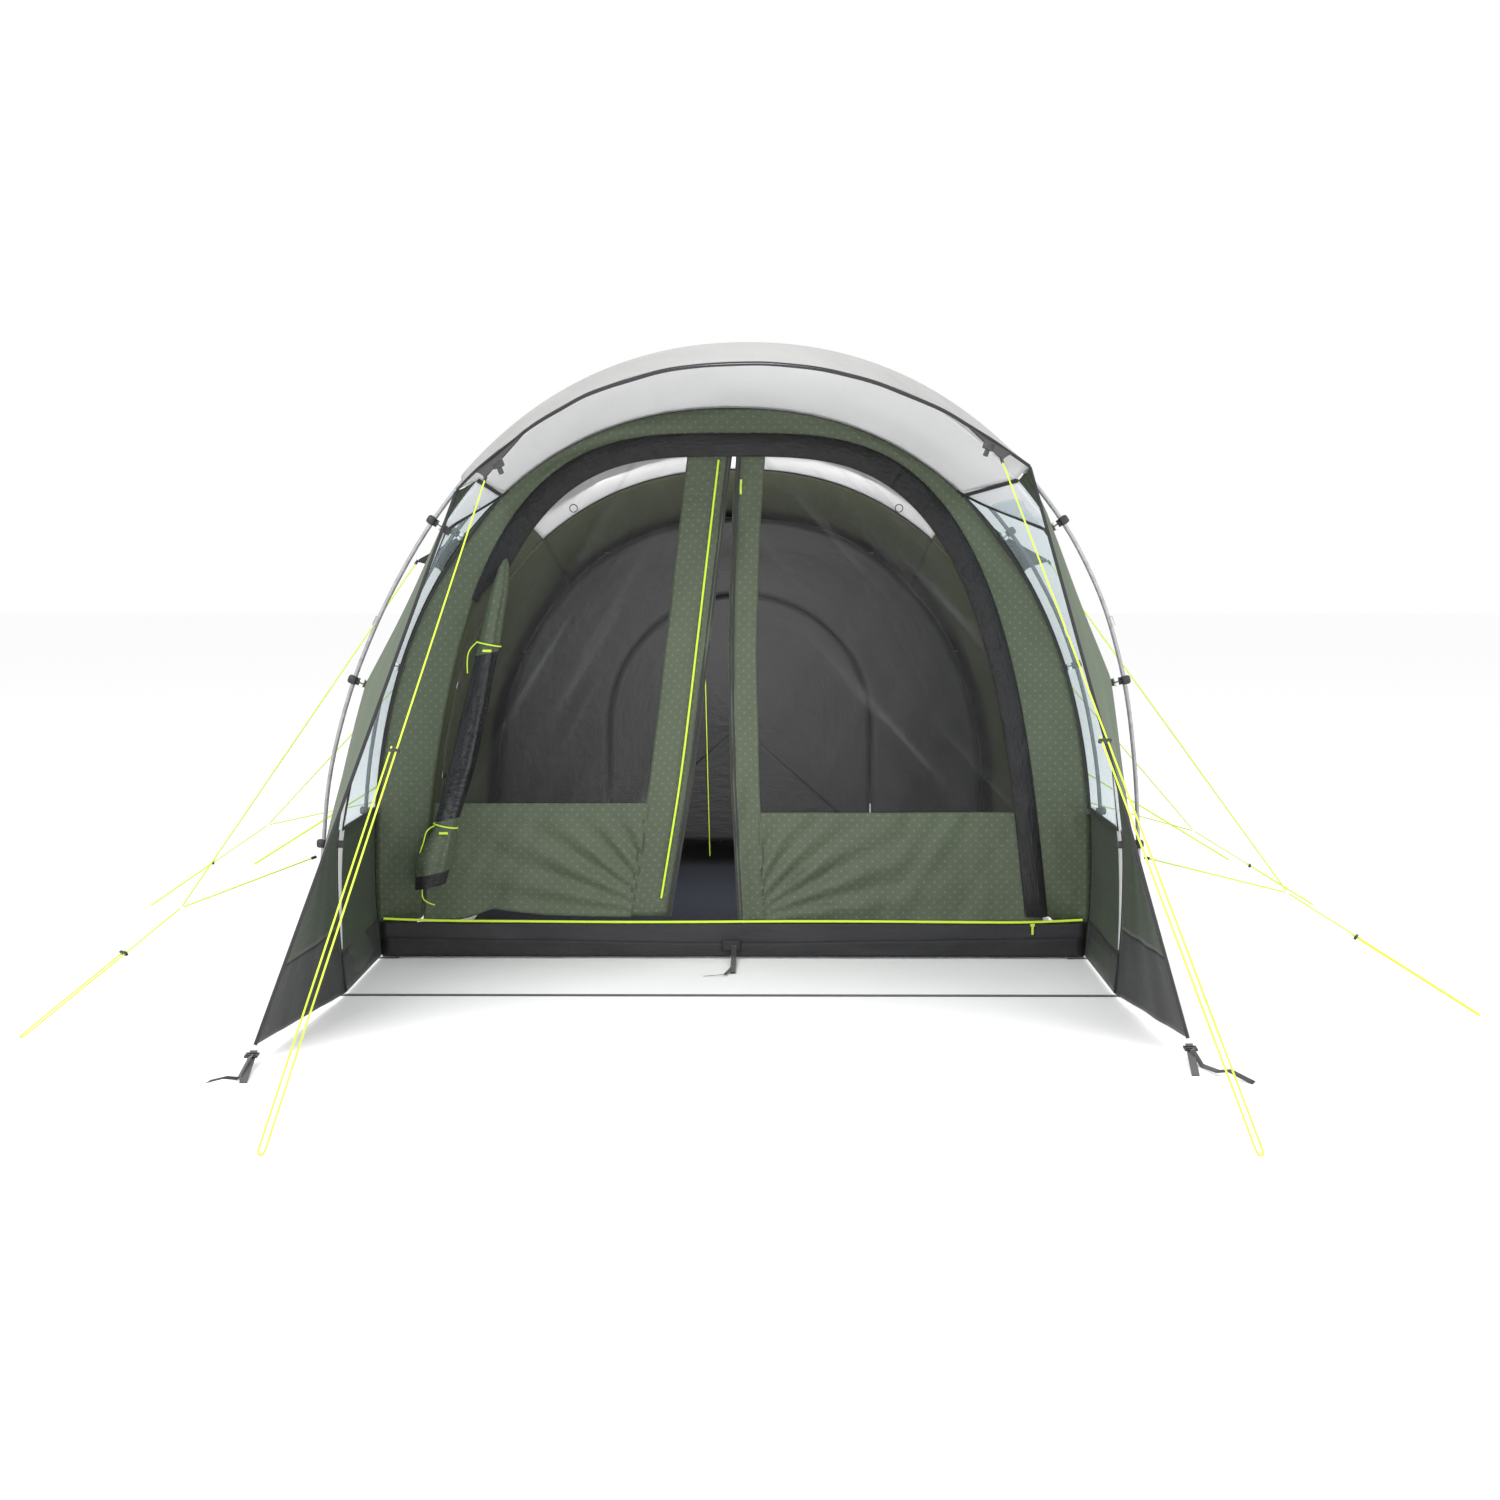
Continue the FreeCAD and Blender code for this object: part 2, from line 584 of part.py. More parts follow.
GUY_FRONTS = {"left": V(-680.0, -262.0, 1534.0), "right": V(767.0, -262.0, 1583.0)}
GUY_ANCHORS = {"upper_b": V(1022.0, STATION_B, 1306.0),
               "lower_a": V(1237.0, STATION_A, 420.0), "upper_c": V(925.0, STATION_C, 1262.0),
               "lower_c": V(1206.0, STATION_C, 420.0), "upper_d": V(1072.0, STATION_D, 668.0)}
GUY_RINGS = {"left": {"1": V(-1573.0, -248.0, 306.0), "2": V(-1801.0, 1689.0, 304.0)},
             "right": {"1": V(1649.0, -68.0, 324.0), "2": V(1761.0, 1742.0, 277.0)}}
GUY_PEGS = {"left": {"front": V(-981.0, -1684.0, 12.0), "1": V(-1906.0, -591.0, 12.0),
                     "2": V(-2220.0, 1585.0, 12.0), "3": V(-2102.0, 2680.0, 12.0)},
            "right": {"front": V(1185.0, -1670.0, 12.0), "1": V(2141.0, -280.0, 12.0),
                      "2": V(2192.0, 1655.0, 12.0), "3": V(2152.0, 2849.0, 12.0)}}
RUNNER_SHARE = {"front": 0.47, "1": 0.37, "2": 0.48, "3": 0.42}
ANCHOR_LENGTH = 16.0


def mirrored(point, side):
    return V(side * point.x, point.y, point.z)


def anchor_rod(start, target):
    """A short eyelet barrel pointing along its guy line."""
    away = (target - start).normalize()
    return rod(start, start + away * ANCHOR_LENGTH, 4.5)


def cord_start(start, target):
    return start + (target - start).normalize() * ANCHOR_LENGTH


def guy_lines(word):
    """Each line of a side: its name, where it starts, its peg, and whether a knot starts it."""
    side, rings, pegs = SIDES[word], GUY_RINGS[word], GUY_PEGS[word]
    return (("front", GUY_FRONTS[word], pegs["front"], False),
            ("1", rings["1"], pegs["1"], True),
            ("2", rings["2"], pegs["2"], True),
            ("3", mirrored(GUY_ANCHORS["upper_d"], side), pegs["3"], False))


def guy_ends(start, peg, knotted):
    """First point and loop end of a guy line, and its direction."""
    away = (peg - start).normalize()
    first = start + away * (KNOT_R * 0.6 if knotted else ANCHOR_LENGTH)
    return first, peg, away


def across(away):
    """Level direction square to a line."""
    return away.cross(V(0, 0, 1)).normalize()


def guy_cord(start, peg, knotted, share):
    """A taut line down to its peg, round it, and back up to the runner."""
    first, end, away = guy_ends(start, peg, knotted)
    aside = across(away) * CORD_LEG
    turn_start = end
    turn_end = end + aside
    middle = end + aside * 0.5 + away * (CORD_LEG / 2.0)
    back = start + (peg - start) * share - away * 14.0 + aside
    edges = [Part.LineSegment(first, turn_start).toShape(), Part.Arc(turn_start, middle, turn_end).toShape(),
             Part.LineSegment(turn_end, back).toShape()]
    line = tube(Part.Wire(edges), first, away, CORD_R)
    if knotted:
        line = line.fuse(Part.makeSphere(KNOT_R, start)).removeSplitter()
    return line


def runner(start, peg, share):
    """A line runner: a small bar with two holes for the two legs of the line."""
    away = (peg - start).normalize()
    aside = across(away)
    up = aside.cross(away).normalize()
    centre = start + (peg - start) * share + aside * (CORD_LEG / 2.0)
    bar = Part.makeBox(34.0, 12.0, 8.0, V(-17.0, -6.0, -4.0))
    bar = bar.makeFillet(1.5, bar.Edges)
    for x in (-CORD_LEG / 2.0, CORD_LEG / 2.0):
        bar = bar.cut(Part.makeCylinder(CORD_R + 0.6, 20.0, V(x, 0, -10.0)))
    frame = FreeCAD.Matrix(aside.x, up.x, away.x, centre.x, aside.y, up.y, away.y, centre.y,
                           aside.z, up.z, away.z, centre.z, 0, 0, 0, 1)
    bar.transformShape(frame)
    return bar


def v_leg(anchor, ring):
    """One leg of a V, from its eyelet to just short of the knot."""
    away = (ring - anchor).normalize()
    return rod(cord_start(anchor, ring), ring - away * (KNOT_R + 0.3), CORD_R)


def build_guys():
    for word, side in LEFT_RIGHT:
        for name, start, peg, knotted in guy_lines(word):
            share = RUNNER_SHARE[name]
            add("guy_line_%s_%s" % (name, word), guy_cord(start, peg, knotted, share))
            add("runner_%s_%s" % (name, word), runner(start, peg, share))
            if not knotted:
                add("guy_eyelets", anchor_rod(start, peg))
        for name, tops in (("1", ("upper_b", "lower_a")), ("2", ("upper_c", "lower_c"))):
            ring = GUY_RINGS[word][name]
            for top in tops:
                anchor = mirrored(GUY_ANCHORS[top], side)
                add("guy_v_%s_%s" % (name, word), v_leg(anchor, ring))
                add("guy_eyelets", anchor_rod(anchor, ring))


# ---------------------------------------------------------------- whole tent

def build_all():
    build_poles()
    build_roof()
    build_sides()
    build_visor()
    build_wings()
    build_front_wall()
    build_storm_flap()
    build_doors()
    build_rolled_door()
    build_sliders()
    build_inner_tent()
    build_hangers()
    build_webbing()
    build_adjusters()
    build_guys()


CENTRE_Y = (FRONT_END + REAR_END) / 2.0

if __name__ == "__main__":
    build_all()
    for node, solids in NODES.items():
        shape = solids[0] if len(solids) == 1 else Part.makeCompound(solids)
        shape.translate(V(0, -CENTRE_Y, 0))
        shape.exportStep("parts/" + node + ".step")
        box = shape.BoundBox
        print("%-22s %2d solids %9.0f mm3 valid %s  x %.0f %.0f  y %.0f %.0f  z %.1f %.1f" % (
            node, len(solids), shape.Volume, shape.isValid(), box.XMin, box.XMax, box.YMin,
            box.YMax, box.ZMin, box.ZMax))
    print(len(NODES), "nodes")
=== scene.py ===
"""A pitched tunnel tent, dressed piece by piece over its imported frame."""
import json
import logging
import math
from dataclasses import dataclass, field
from enum import Enum
from typing import Callable, Iterable, Optional, Sequence, Tuple

import bmesh
import bpy
from mathutils import Matrix, Vector, noise

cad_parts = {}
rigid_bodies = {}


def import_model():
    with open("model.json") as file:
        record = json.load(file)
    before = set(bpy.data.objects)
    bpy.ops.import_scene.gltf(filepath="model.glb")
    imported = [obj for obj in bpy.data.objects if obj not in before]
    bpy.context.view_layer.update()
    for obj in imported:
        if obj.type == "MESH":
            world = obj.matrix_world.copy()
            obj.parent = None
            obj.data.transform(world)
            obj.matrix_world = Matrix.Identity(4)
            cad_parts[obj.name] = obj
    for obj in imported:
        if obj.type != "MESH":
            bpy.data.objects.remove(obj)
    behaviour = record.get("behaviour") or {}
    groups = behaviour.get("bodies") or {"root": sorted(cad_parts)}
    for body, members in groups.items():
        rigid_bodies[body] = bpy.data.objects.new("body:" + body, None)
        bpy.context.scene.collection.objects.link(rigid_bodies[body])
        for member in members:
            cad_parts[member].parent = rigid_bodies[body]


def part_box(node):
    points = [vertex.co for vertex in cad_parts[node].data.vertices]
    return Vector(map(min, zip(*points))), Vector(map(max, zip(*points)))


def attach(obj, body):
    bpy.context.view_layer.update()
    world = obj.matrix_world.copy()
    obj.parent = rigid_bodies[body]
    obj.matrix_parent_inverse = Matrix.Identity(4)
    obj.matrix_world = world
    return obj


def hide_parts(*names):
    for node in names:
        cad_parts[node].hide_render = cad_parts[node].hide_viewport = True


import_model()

logging.basicConfig(level=logging.INFO, format="%(message)s")
LOG = logging.getLogger("tent")

Colour = Tuple[float, float, float]
Place = Callable[[float, float], Vector]
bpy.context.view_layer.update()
TENT = "tent"


# ------------------------------------------------------------------ finishes

class Nodes:
    """A small helper that writes a node material."""

    def __init__(self, name: str) -> None:
        """Start an empty material with a surface shader."""
        self.material = bpy.data.materials.new(name)
        self.material.use_nodes = True
        self.tree = self.material.node_tree
        self.tree.nodes.clear()
        self.out = self.add("ShaderNodeOutputMaterial")
        self.shader = self.add("ShaderNodeBsdfPrincipled")
        self.join(self.shader, "BSDF", self.out, "Surface")

    def add(self, kind: str, **values: object) -> bpy.types.Node:
        """Add one node and set its properties."""
        node = self.tree.nodes.new(kind)
        for key, value in values.items():
            setattr(node, key, value)
        return node

    def join(self, a: bpy.types.Node, out: str, b: bpy.types.Node, into: object) -> None:
        """Link an output to an input."""
        self.tree.links.new(a.outputs[out], b.inputs[into])

    def place(self, space: str = "UV", scale: Sequence[float] = (1, 1, 1), turn: float = 0.0) -> bpy.types.Node:
        """Coordinates in metres, scaled and turned.

        Args:
            space: "UV" for sheets or "Object" for solid pieces.
            scale: repeats per metre along each axis.
            turn: rotation about the third axis, in radians.

        Returns:
            The mapping node.
        """
        source = self.add("ShaderNodeTexCoord")
        mapping = self.add("ShaderNodeMapping")
        mapping.inputs["Scale"].default_value = scale
        mapping.inputs["Rotation"].default_value = (0, 0, turn)
        self.join(source, space, mapping, "Vector")
        return mapping

    def noise(self, where: bpy.types.Node, scale: float, detail: float = 4.0, rough: float = 0.55) -> bpy.types.Node:
        """A noise texture on given coordinates."""
        node = self.add("ShaderNodeTexNoise")
        node.inputs["Scale"].default_value = scale
        node.inputs["Detail"].default_value = detail
        node.inputs["Roughness"].default_value = rough
        self.join(where, "Vector", node, "Vector")
        return node

    def ramp(self, source: bpy.types.Node, out: str, stops: Sequence[Tuple[float, Colour]]) -> bpy.types.Node:
        """A colour ramp over a value."""
        node = self.add("ShaderNodeValToRGB")
        bar = node.color_ramp
        while len(bar.elements) < len(stops):
            bar.elements.new(0.5)
        for element, (spot, colour) in zip(bar.elements, stops):
            element.position = spot
            element.color = (*colour, 1.0)
        self.join(source, out, node, "Fac")
        return node

    def maths(self, how: str, a: object, b: object = 0.0, clamp: bool = False) -> bpy.types.Node:
        """A math node between nodes or numbers."""
        node = self.add("ShaderNodeMath", operation=how, use_clamp=clamp)
        for slot, value in ((0, a), (1, b)):
            if isinstance(value, tuple):
                self.join(value[0], value[1], node, slot)
            else:
                node.inputs[slot].default_value = value
        return node

    def mix(self, factor: object, a: object, b: object, how: str = "MIX") -> bpy.types.Node:
        """Mix two colours, each a node output or a fixed colour."""
        node = self.add("ShaderNodeMixRGB", blend_type=how)
        for slot, value in (("Fac", factor), ("Color1", a), ("Color2", b)):
            if isinstance(value, tuple) and isinstance(value[0], bpy.types.Node):
                self.join(value[0], value[1], node, slot)
            elif slot == "Fac":
                node.inputs[slot].default_value = value
            else:
                node.inputs[slot].default_value = (*value, 1.0)
        return node

    def bump(self, source: bpy.types.Node, out: str, height: float, strength: float = 1.0,
             under: Optional[bpy.types.Node] = None) -> bpy.types.Node:
        """A bump of a given height in metres over another one."""
        node = self.add("ShaderNodeBump")
        node.inputs["Strength"].default_value = strength
        node.inputs["Distance"].default_value = height
        self.join(source, out, node, "Height")
        if under is not None:
            self.join(under, "Normal", node, "Normal")
        return node


@dataclass(frozen=True)
class ClothFinish:
    """Coated tent cloth: ripstop threads, soft creases and, on some cloth, pale woven dots."""

    name: str
    colour: Colour
    shade: Colour
    dots: float = 0.0
    dot_pitch: float = 0.024
    crease: float = 0.004
    crease_size: float = 5.0
    roughness: float = 0.55
    sheen: float = 0.04
    through: float = 0.0

    def make(self) -> bpy.types.Material:
        """Build the material."""
        n = Nodes(self.name)
        flat = n.place("UV")
        broad = n.noise(flat, 1.6, 3.0)
        tone = n.ramp(broad, "Fac", ((0.3, self.shade), (0.7, self.colour)))
        colour = (tone, "Color")
        threads = n.place("UV", (1 / 0.0058, 1 / 0.0058, 1))
        split = n.add("ShaderNodeSeparateXYZ")
        n.join(threads, "Vector", split, "Vector")
        lines = []
        for axis in ("X", "Y"):
            part = n.maths("FRACT", (split, axis))
            near = n.maths("ABSOLUTE", (n.maths("SUBTRACT", (part, 0), 0.5), 0))
            lines.append(n.maths("LESS_THAN", (near, 0), 0.09))
        grid = n.maths("MAXIMUM", (lines[0], 0), (lines[1], 0))
        darker = n.mix((n.maths("MULTIPLY", (grid, 0), 0.10), 0), colour, (0.0, 0.0, 0.0))
        colour = (darker, "Color")
        if self.dots > 0:
            mask = self.dot_mask(n)
            pale = tuple(min(1.0, c * 1.9 + 0.10) for c in self.colour)
            colour = (n.mix((n.maths("MULTIPLY", (mask, 0), self.dots), 0), colour, pale), "Color")
        n.join(colour[0], colour[1], n.shader, "Base Color")
        weave = n.noise(n.place("UV", (1, 1, 1)), 900.0, 2.0)
        soft = n.noise(n.place("UV", (1.0, 0.35, 1)), self.crease_size, 5.0, 0.5)
        fine = n.noise(n.place("UV", (1.0, 2.2, 1), 0.6), self.crease_size * 3.4, 3.0, 0.6)
        base = n.bump(soft, "Fac", self.crease)
        second = n.bump(fine, "Fac", self.crease * 0.35, 1.0, base)
        third = n.bump(grid, 0, 0.00012, 0.6, second)
        last = n.bump(weave, "Fac", 0.00008, 0.5, third)
        n.join(last, "Normal", n.shader, "Normal")
        rough = n.ramp(broad, "Fac", ((0.2, (self.roughness - 0.06,) * 3), (0.8, (self.roughness + 0.08,) * 3)))
        n.join(rough, "Color", n.shader, "Roughness")
        n.shader.inputs["Sheen Weight"].default_value = self.sheen
        n.shader.inputs["Sheen Roughness"].default_value = 0.4
        n.shader.inputs["Specular IOR Level"].default_value = 0.35
        if self.through > 0:
            glow = n.add("ShaderNodeBsdfTranslucent")
            n.join(colour[0], colour[1], glow, "Color")
            blend = n.add("ShaderNodeMixShader")
            blend.inputs["Fac"].default_value = self.through
            n.join(n.shader, "BSDF", blend, 1)
            n.join(glow, "BSDF", blend, 2)
            n.join(blend, "Shader", n.out, "Surface")
        return n.material

    def dot_mask(self, n: Nodes) -> bpy.types.Node:
        """Round dots in a staggered grid, as one mask."""
        masks = []
        for shift in (0.0, 0.5):
            spots = n.place("UV", (1 / self.dot_pitch, 1 / self.dot_pitch, 1))
            spots.inputs["Location"].default_value = (shift, shift, 0)
            split = n.add("ShaderNodeSeparateXYZ")
            n.join(spots, "Vector", split, "Vector")
            squares = []
            for axis in ("X", "Y"):
                part = n.maths("SUBTRACT", (n.maths("FRACT", (split, axis)), 0), 0.5)
                squares.append(n.maths("MULTIPLY", (part, 0), (part, 0)))
            total = n.maths("ADD", (squares[0], 0), (squares[1], 0))
            masks.append(n.maths("LESS_THAN", (total, 0), 0.0125))
        return n.maths("MAXIMUM", (masks[0], 0), (masks[1], 0))


@dataclass(frozen=True)
class MeshFinish:
    """Fine insect mesh, seen through in part, with long creases along one direction; the creases carry painted
    highlight as lighter, denser streaks.
    """

    name: str
    colour: Colour
    cover: float
    lean: float

    def make(self) -> bpy.types.Material:
        """Build the material."""
        n = Nodes(self.name)
        turned = n.place("UV", (1, 1, 1), -self.lean)
        drawn = n.add("ShaderNodeMapping")
        drawn.inputs["Scale"].default_value = (0.9, 15.0, 1.0)
        n.join(turned, "Vector", drawn, "Vector")
        folds = n.noise(drawn, 1.0, 3.0, 0.5)
        # Painted highlight: the ramp lifts the mesh colour up to 2.4 times along the fold streaks, standing in for
        # light caught on the creases.
        tone = n.ramp(folds, "Fac", ((0.40, tuple(c * 0.7 for c in self.colour)),
                                     (0.60, self.colour), (0.72, tuple(c * 2.4 for c in self.colour))))
        n.join(tone, "Color", n.shader, "Base Color")
        n.shader.inputs["Roughness"].default_value = 0.6
        threads = n.place("UV", (1 / 0.0016, 1 / 0.0016, 1))
        split = n.add("ShaderNodeSeparateXYZ")
        n.join(threads, "Vector", split, "Vector")
        lines = []
        for axis in ("X", "Y"):
            part = n.maths("FRACT", (split, axis))
            lines.append(n.maths("LESS_THAN", (part, 0), 0.42))
        woven = n.maths("MAXIMUM", (lines[0], 0), (lines[1], 0))
        cover = n.maths("MULTIPLY_ADD", (woven, 0), 0.30)
        cover.inputs[2].default_value = self.cover - 0.2
        # Denser cover along the fold streaks: partly the real doubled mesh in a crease, partly painted highlight that
        # makes the streaks read lighter.
        creased = n.ramp(folds, "Fac", ((0.55, (0.0,) * 3), (0.72, (0.22,) * 3)))
        cover = n.maths("ADD", (cover, 0), (creased, "Color"), True)
        clear = n.add("ShaderNodeBsdfTransparent")
        blend = n.add("ShaderNodeMixShader")
        n.join(cover, 0, blend, "Fac")
        n.join(clear, "BSDF", blend, 1)
        n.join(n.shader, "BSDF", blend, 2)
        n.join(blend, "Shader", n.out, "Surface")
        n.join(n.bump(folds, "Fac", 0.012), "Normal", n.shader, "Normal")
        return n.material


@dataclass(frozen=True)
class FoilFinish:
    """Clear window foil: mostly see-through, with soft waves and gloss."""

    name: str
    tint: Colour
    body: float

    def make(self) -> bpy.types.Material:
        """Build the material."""
        n = Nodes(self.name)
        waves = n.noise(n.place("UV", (1.0, 0.5, 1), 0.4), 5.0, 4.0, 0.5)
        tone = n.ramp(waves, "Fac", ((0.3, tuple(c * 0.93 for c in self.tint)), (0.75, self.tint)))
        n.join(tone, "Color", n.shader, "Base Color")
        n.shader.inputs["Roughness"].default_value = 0.12
        n.shader.inputs["Specular IOR Level"].default_value = 0.6
        n.join(n.bump(waves, "Fac", 0.01), "Normal", n.shader, "Normal")
        clear = n.add("ShaderNodeBsdfTransparent")
        clear.inputs["Color"].default_value = (0.93, 0.97, 0.98, 1)
        blend = n.add("ShaderNodeMixShader")
        blend.inputs["Fac"].default_value = self.body
        n.join(clear, "BSDF", blend, 1)
        n.join(n.shader, "BSDF", blend, 2)
        n.join(blend, "Shader", n.out, "Surface")
        return n.material


@dataclass(frozen=True)
class CordFinish:
    """Braided cord or woven webbing: diagonal or crosswise ribs along the piece, each band darkened towards its groove
    as painted shade.
    """

    name: str
    colour: Colour
    pitch: float = 0.004
    turn: float = 0.7
    roughness: float = 0.6

    def make(self) -> bpy.types.Material:
        """Build the material."""
        n = Nodes(self.name)
        spot = n.place("Object", (1, 1, 1), self.turn)
        rib = n.add("ShaderNodeTexWave", wave_type="BANDS", bands_direction="DIAGONAL")
        rib.inputs["Scale"].default_value = 0.32 / self.pitch
        rib.inputs["Distortion"].default_value = 1.5
        rib.inputs["Detail"].default_value = 1.0
        n.join(spot, "Vector", rib, "Vector")
        # Painted shade: the dark end of the ramp, 0.62 of the colour, darkens the grooves between ribs, on top of the
        # bump.
        dark = tuple(c * 0.62 for c in self.colour)
        tone = n.ramp(rib, "Fac", ((0.15, dark), (0.65, self.colour)))
        n.join(tone, "Color", n.shader, "Base Color")
        n.shader.inputs["Roughness"].default_value = self.roughness
        n.shader.inputs["Sheen Weight"].default_value = 0.25
        n.join(n.bump(rib, "Fac", 0.0005), "Normal", n.shader, "Normal")
        return n.material


@dataclass(frozen=True)
class HardFinish:
    """Moulded plastic or drawn metal with fine grain and scuffs."""

    name: str
    colour: Colour
    metallic: float
    roughness: float
    grain: float = 900.0
    depth: float = 0.00006

    def make(self) -> bpy.types.Material:
        """Build the material."""
        n = Nodes(self.name)
        spot = n.place("Object")
        grain = n.noise(spot, self.grain, 3.0)
        scuffs = n.noise(spot, 46.0, 6.0, 0.65)
        lift = tuple(min(1.0, c * 1.18 + 0.012) for c in self.colour)
        drop = tuple(c * 0.84 for c in self.colour)
        tone = n.ramp(scuffs, "Fac", ((0.32, drop), (0.68, lift)))
        n.join(tone, "Color", n.shader, "Base Color")
        r = self.roughness
        rough = n.ramp(scuffs, "Fac", ((0.3, (max(r - 0.08, 0.03),) * 3), (0.75, (min(r + 0.12, 1.0),) * 3)))
        n.join(rough, "Color", n.shader, "Roughness")
        n.shader.inputs["Metallic"].default_value = self.metallic
        n.join(n.bump(grain, "Fac", self.depth, 0.6), "Normal", n.shader, "Normal")
        return n.material


class Finish(Enum):
    """Every finish on the tent."""

    GREY = ClothFinish("grey_roof_cloth", (0.66, 0.655, 0.65), (0.56, 0.555, 0.55), through=0.40, crease=0.014,
                       crease_size=7.0)
    CEILING = ClothFinish("pale_ceiling_cloth", (0.93, 0.93, 0.94), (0.88, 0.88, 0.89), through=0.5, crease=0.003)
    GREEN = ClothFinish("green_wall_cloth", (0.078, 0.098, 0.061), (0.056, 0.072, 0.044), dots=0.17,
                        dot_pitch=0.034, crease=0.011)
    OLIVE = ClothFinish("green_outer_cloth", (0.070, 0.088, 0.050), (0.058, 0.073, 0.042), crease=0.006, through=0.25)
    OLIVE_IN = ClothFinish("olive_lining_cloth", (0.085, 0.098, 0.048), (0.062, 0.073, 0.036), crease=0.006,
                           through=0.35)
    WING = ClothFinish("dark_green_wing_cloth", (0.034, 0.047, 0.029), (0.026, 0.037, 0.023), crease=0.006)
    WING_OUT = ClothFinish("pale_green_wing_cloth", (0.150, 0.190, 0.130), (0.120, 0.155, 0.105), crease=0.006,
                           through=0.2)
    BINDING = ClothFinish("dark_grey_binding", (0.022, 0.023, 0.025), (0.016, 0.016, 0.018), crease=0.002)
    BLACK = ClothFinish("black_flap_cloth", (0.014, 0.0135, 0.015), (0.008, 0.008, 0.009), crease=0.020,
                        crease_size=12.0, sheen=0.08)
    SILL = ClothFinish("black_sill_cloth", (0.022, 0.022, 0.025), (0.015, 0.015, 0.017), crease=0.006)
    SILL_FOOT = ClothFinish("black_sill_hem_cloth", (0.014, 0.014, 0.016), (0.010, 0.010, 0.012), crease=0.008)
    INNER = ClothFinish("dark_bedroom_cloth", (0.021, 0.021, 0.022), (0.013, 0.013, 0.014), crease=0.010,
                        crease_size=4.0)
    FLOOR = ClothFinish("navy_groundsheet", (0.036, 0.040, 0.058), (0.028, 0.031, 0.046), crease=0.004)
    PATCH = ClothFinish("black_patch_cloth", (0.014, 0.015, 0.014), (0.010, 0.011, 0.010), crease=0.001)
    MESH = MeshFinish("insect_mesh_left", (0.024, 0.024, 0.025), 0.37, 1.02)
    MESH_RIGHT = MeshFinish("insect_mesh_right", (0.022, 0.022, 0.023), 0.36, 2.30)
    FOIL = FoilFinish("window_foil", (0.60, 0.67, 0.71), 0.26)
    ROLL_FOIL = ClothFinish("rolled_foil", (0.020, 0.021, 0.023), (0.008, 0.008, 0.009), crease=0.020,
                            crease_size=9.0, roughness=0.14, sheen=0.0)
    LIME = CordFinish("lime_cord", (0.45, 0.62, 0.045), 0.0035)
    ZIP = CordFinish("zip_coil", (0.020, 0.021, 0.020), 0.0026, 0.0)
    WEBBING = CordFinish("black_webbing", (0.014, 0.014, 0.015), 0.003, 0.2)
    WHITE = HardFinish("white_moulding", (0.86, 0.86, 0.85), 0.0, 0.45)
    BLACK_PLASTIC = HardFinish("black_moulding", (0.016, 0.016, 0.017), 0.0, 0.42)
    LIME_PLASTIC = HardFinish("lime_moulding", (0.45, 0.62, 0.05), 0.0, 0.4)
    POLE = HardFinish("drawn_aluminium", (0.34, 0.34, 0.35), 0.35, 0.42, 240.0)
    POLE_DARK = HardFinish("dark_blue_pole", (0.060, 0.068, 0.090), 0.4, 0.38, 240.0)
    STEEL = HardFinish("plated_steel", (0.42, 0.42, 0.44), 0.8, 0.30, 300.0)

    @property
    def material(self) -> bpy.types.Material:
        """The material of this finish, made on first use."""
        return bpy.data.materials.get(self.value.name) or self.value.make()


# ------------------------------------------------------------------ making pieces

def smooth_piece(bm: bmesh.types.BMesh, name: str) -> bpy.types.Object:
    """Turn a bmesh into a smooth-shaded object and free it."""
    mesh = bpy.data.meshes.new(name)
    for face in bm.faces:
        face.smooth = True
    bm.to_mesh(mesh)
    bm.free()
    piece = bpy.data.objects.new(name, mesh)
    bpy.context.scene.collection.objects.link(piece)
    return piece


def dress(piece: bpy.types.Object, finish: Finish, slot: str, body: str = TENT,
          nodes: Iterable[str] = (), lining: Optional[Finish] = None) -> bpy.types.Object:
    """Give a piece its material and its body, and hide the frame nodes that it stands for.

    Args:
        piece: the object to dress.
        finish: finish of its front face.
        slot: record slot; not used.
        body: body that it rides on.
        nodes: frame nodes that it replaces.
        lining: finish of its back face, where that differs.

    Returns:
        The same piece.
    """
    piece.data.materials.append(finish.material)
    if lining is not None:
        piece.data.materials.append(lining.material)
        piece.modifiers["cloth"].material_offset = 1
    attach(piece, body)
    nodes = tuple(nodes)
    if nodes:
        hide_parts(*nodes)
    return piece


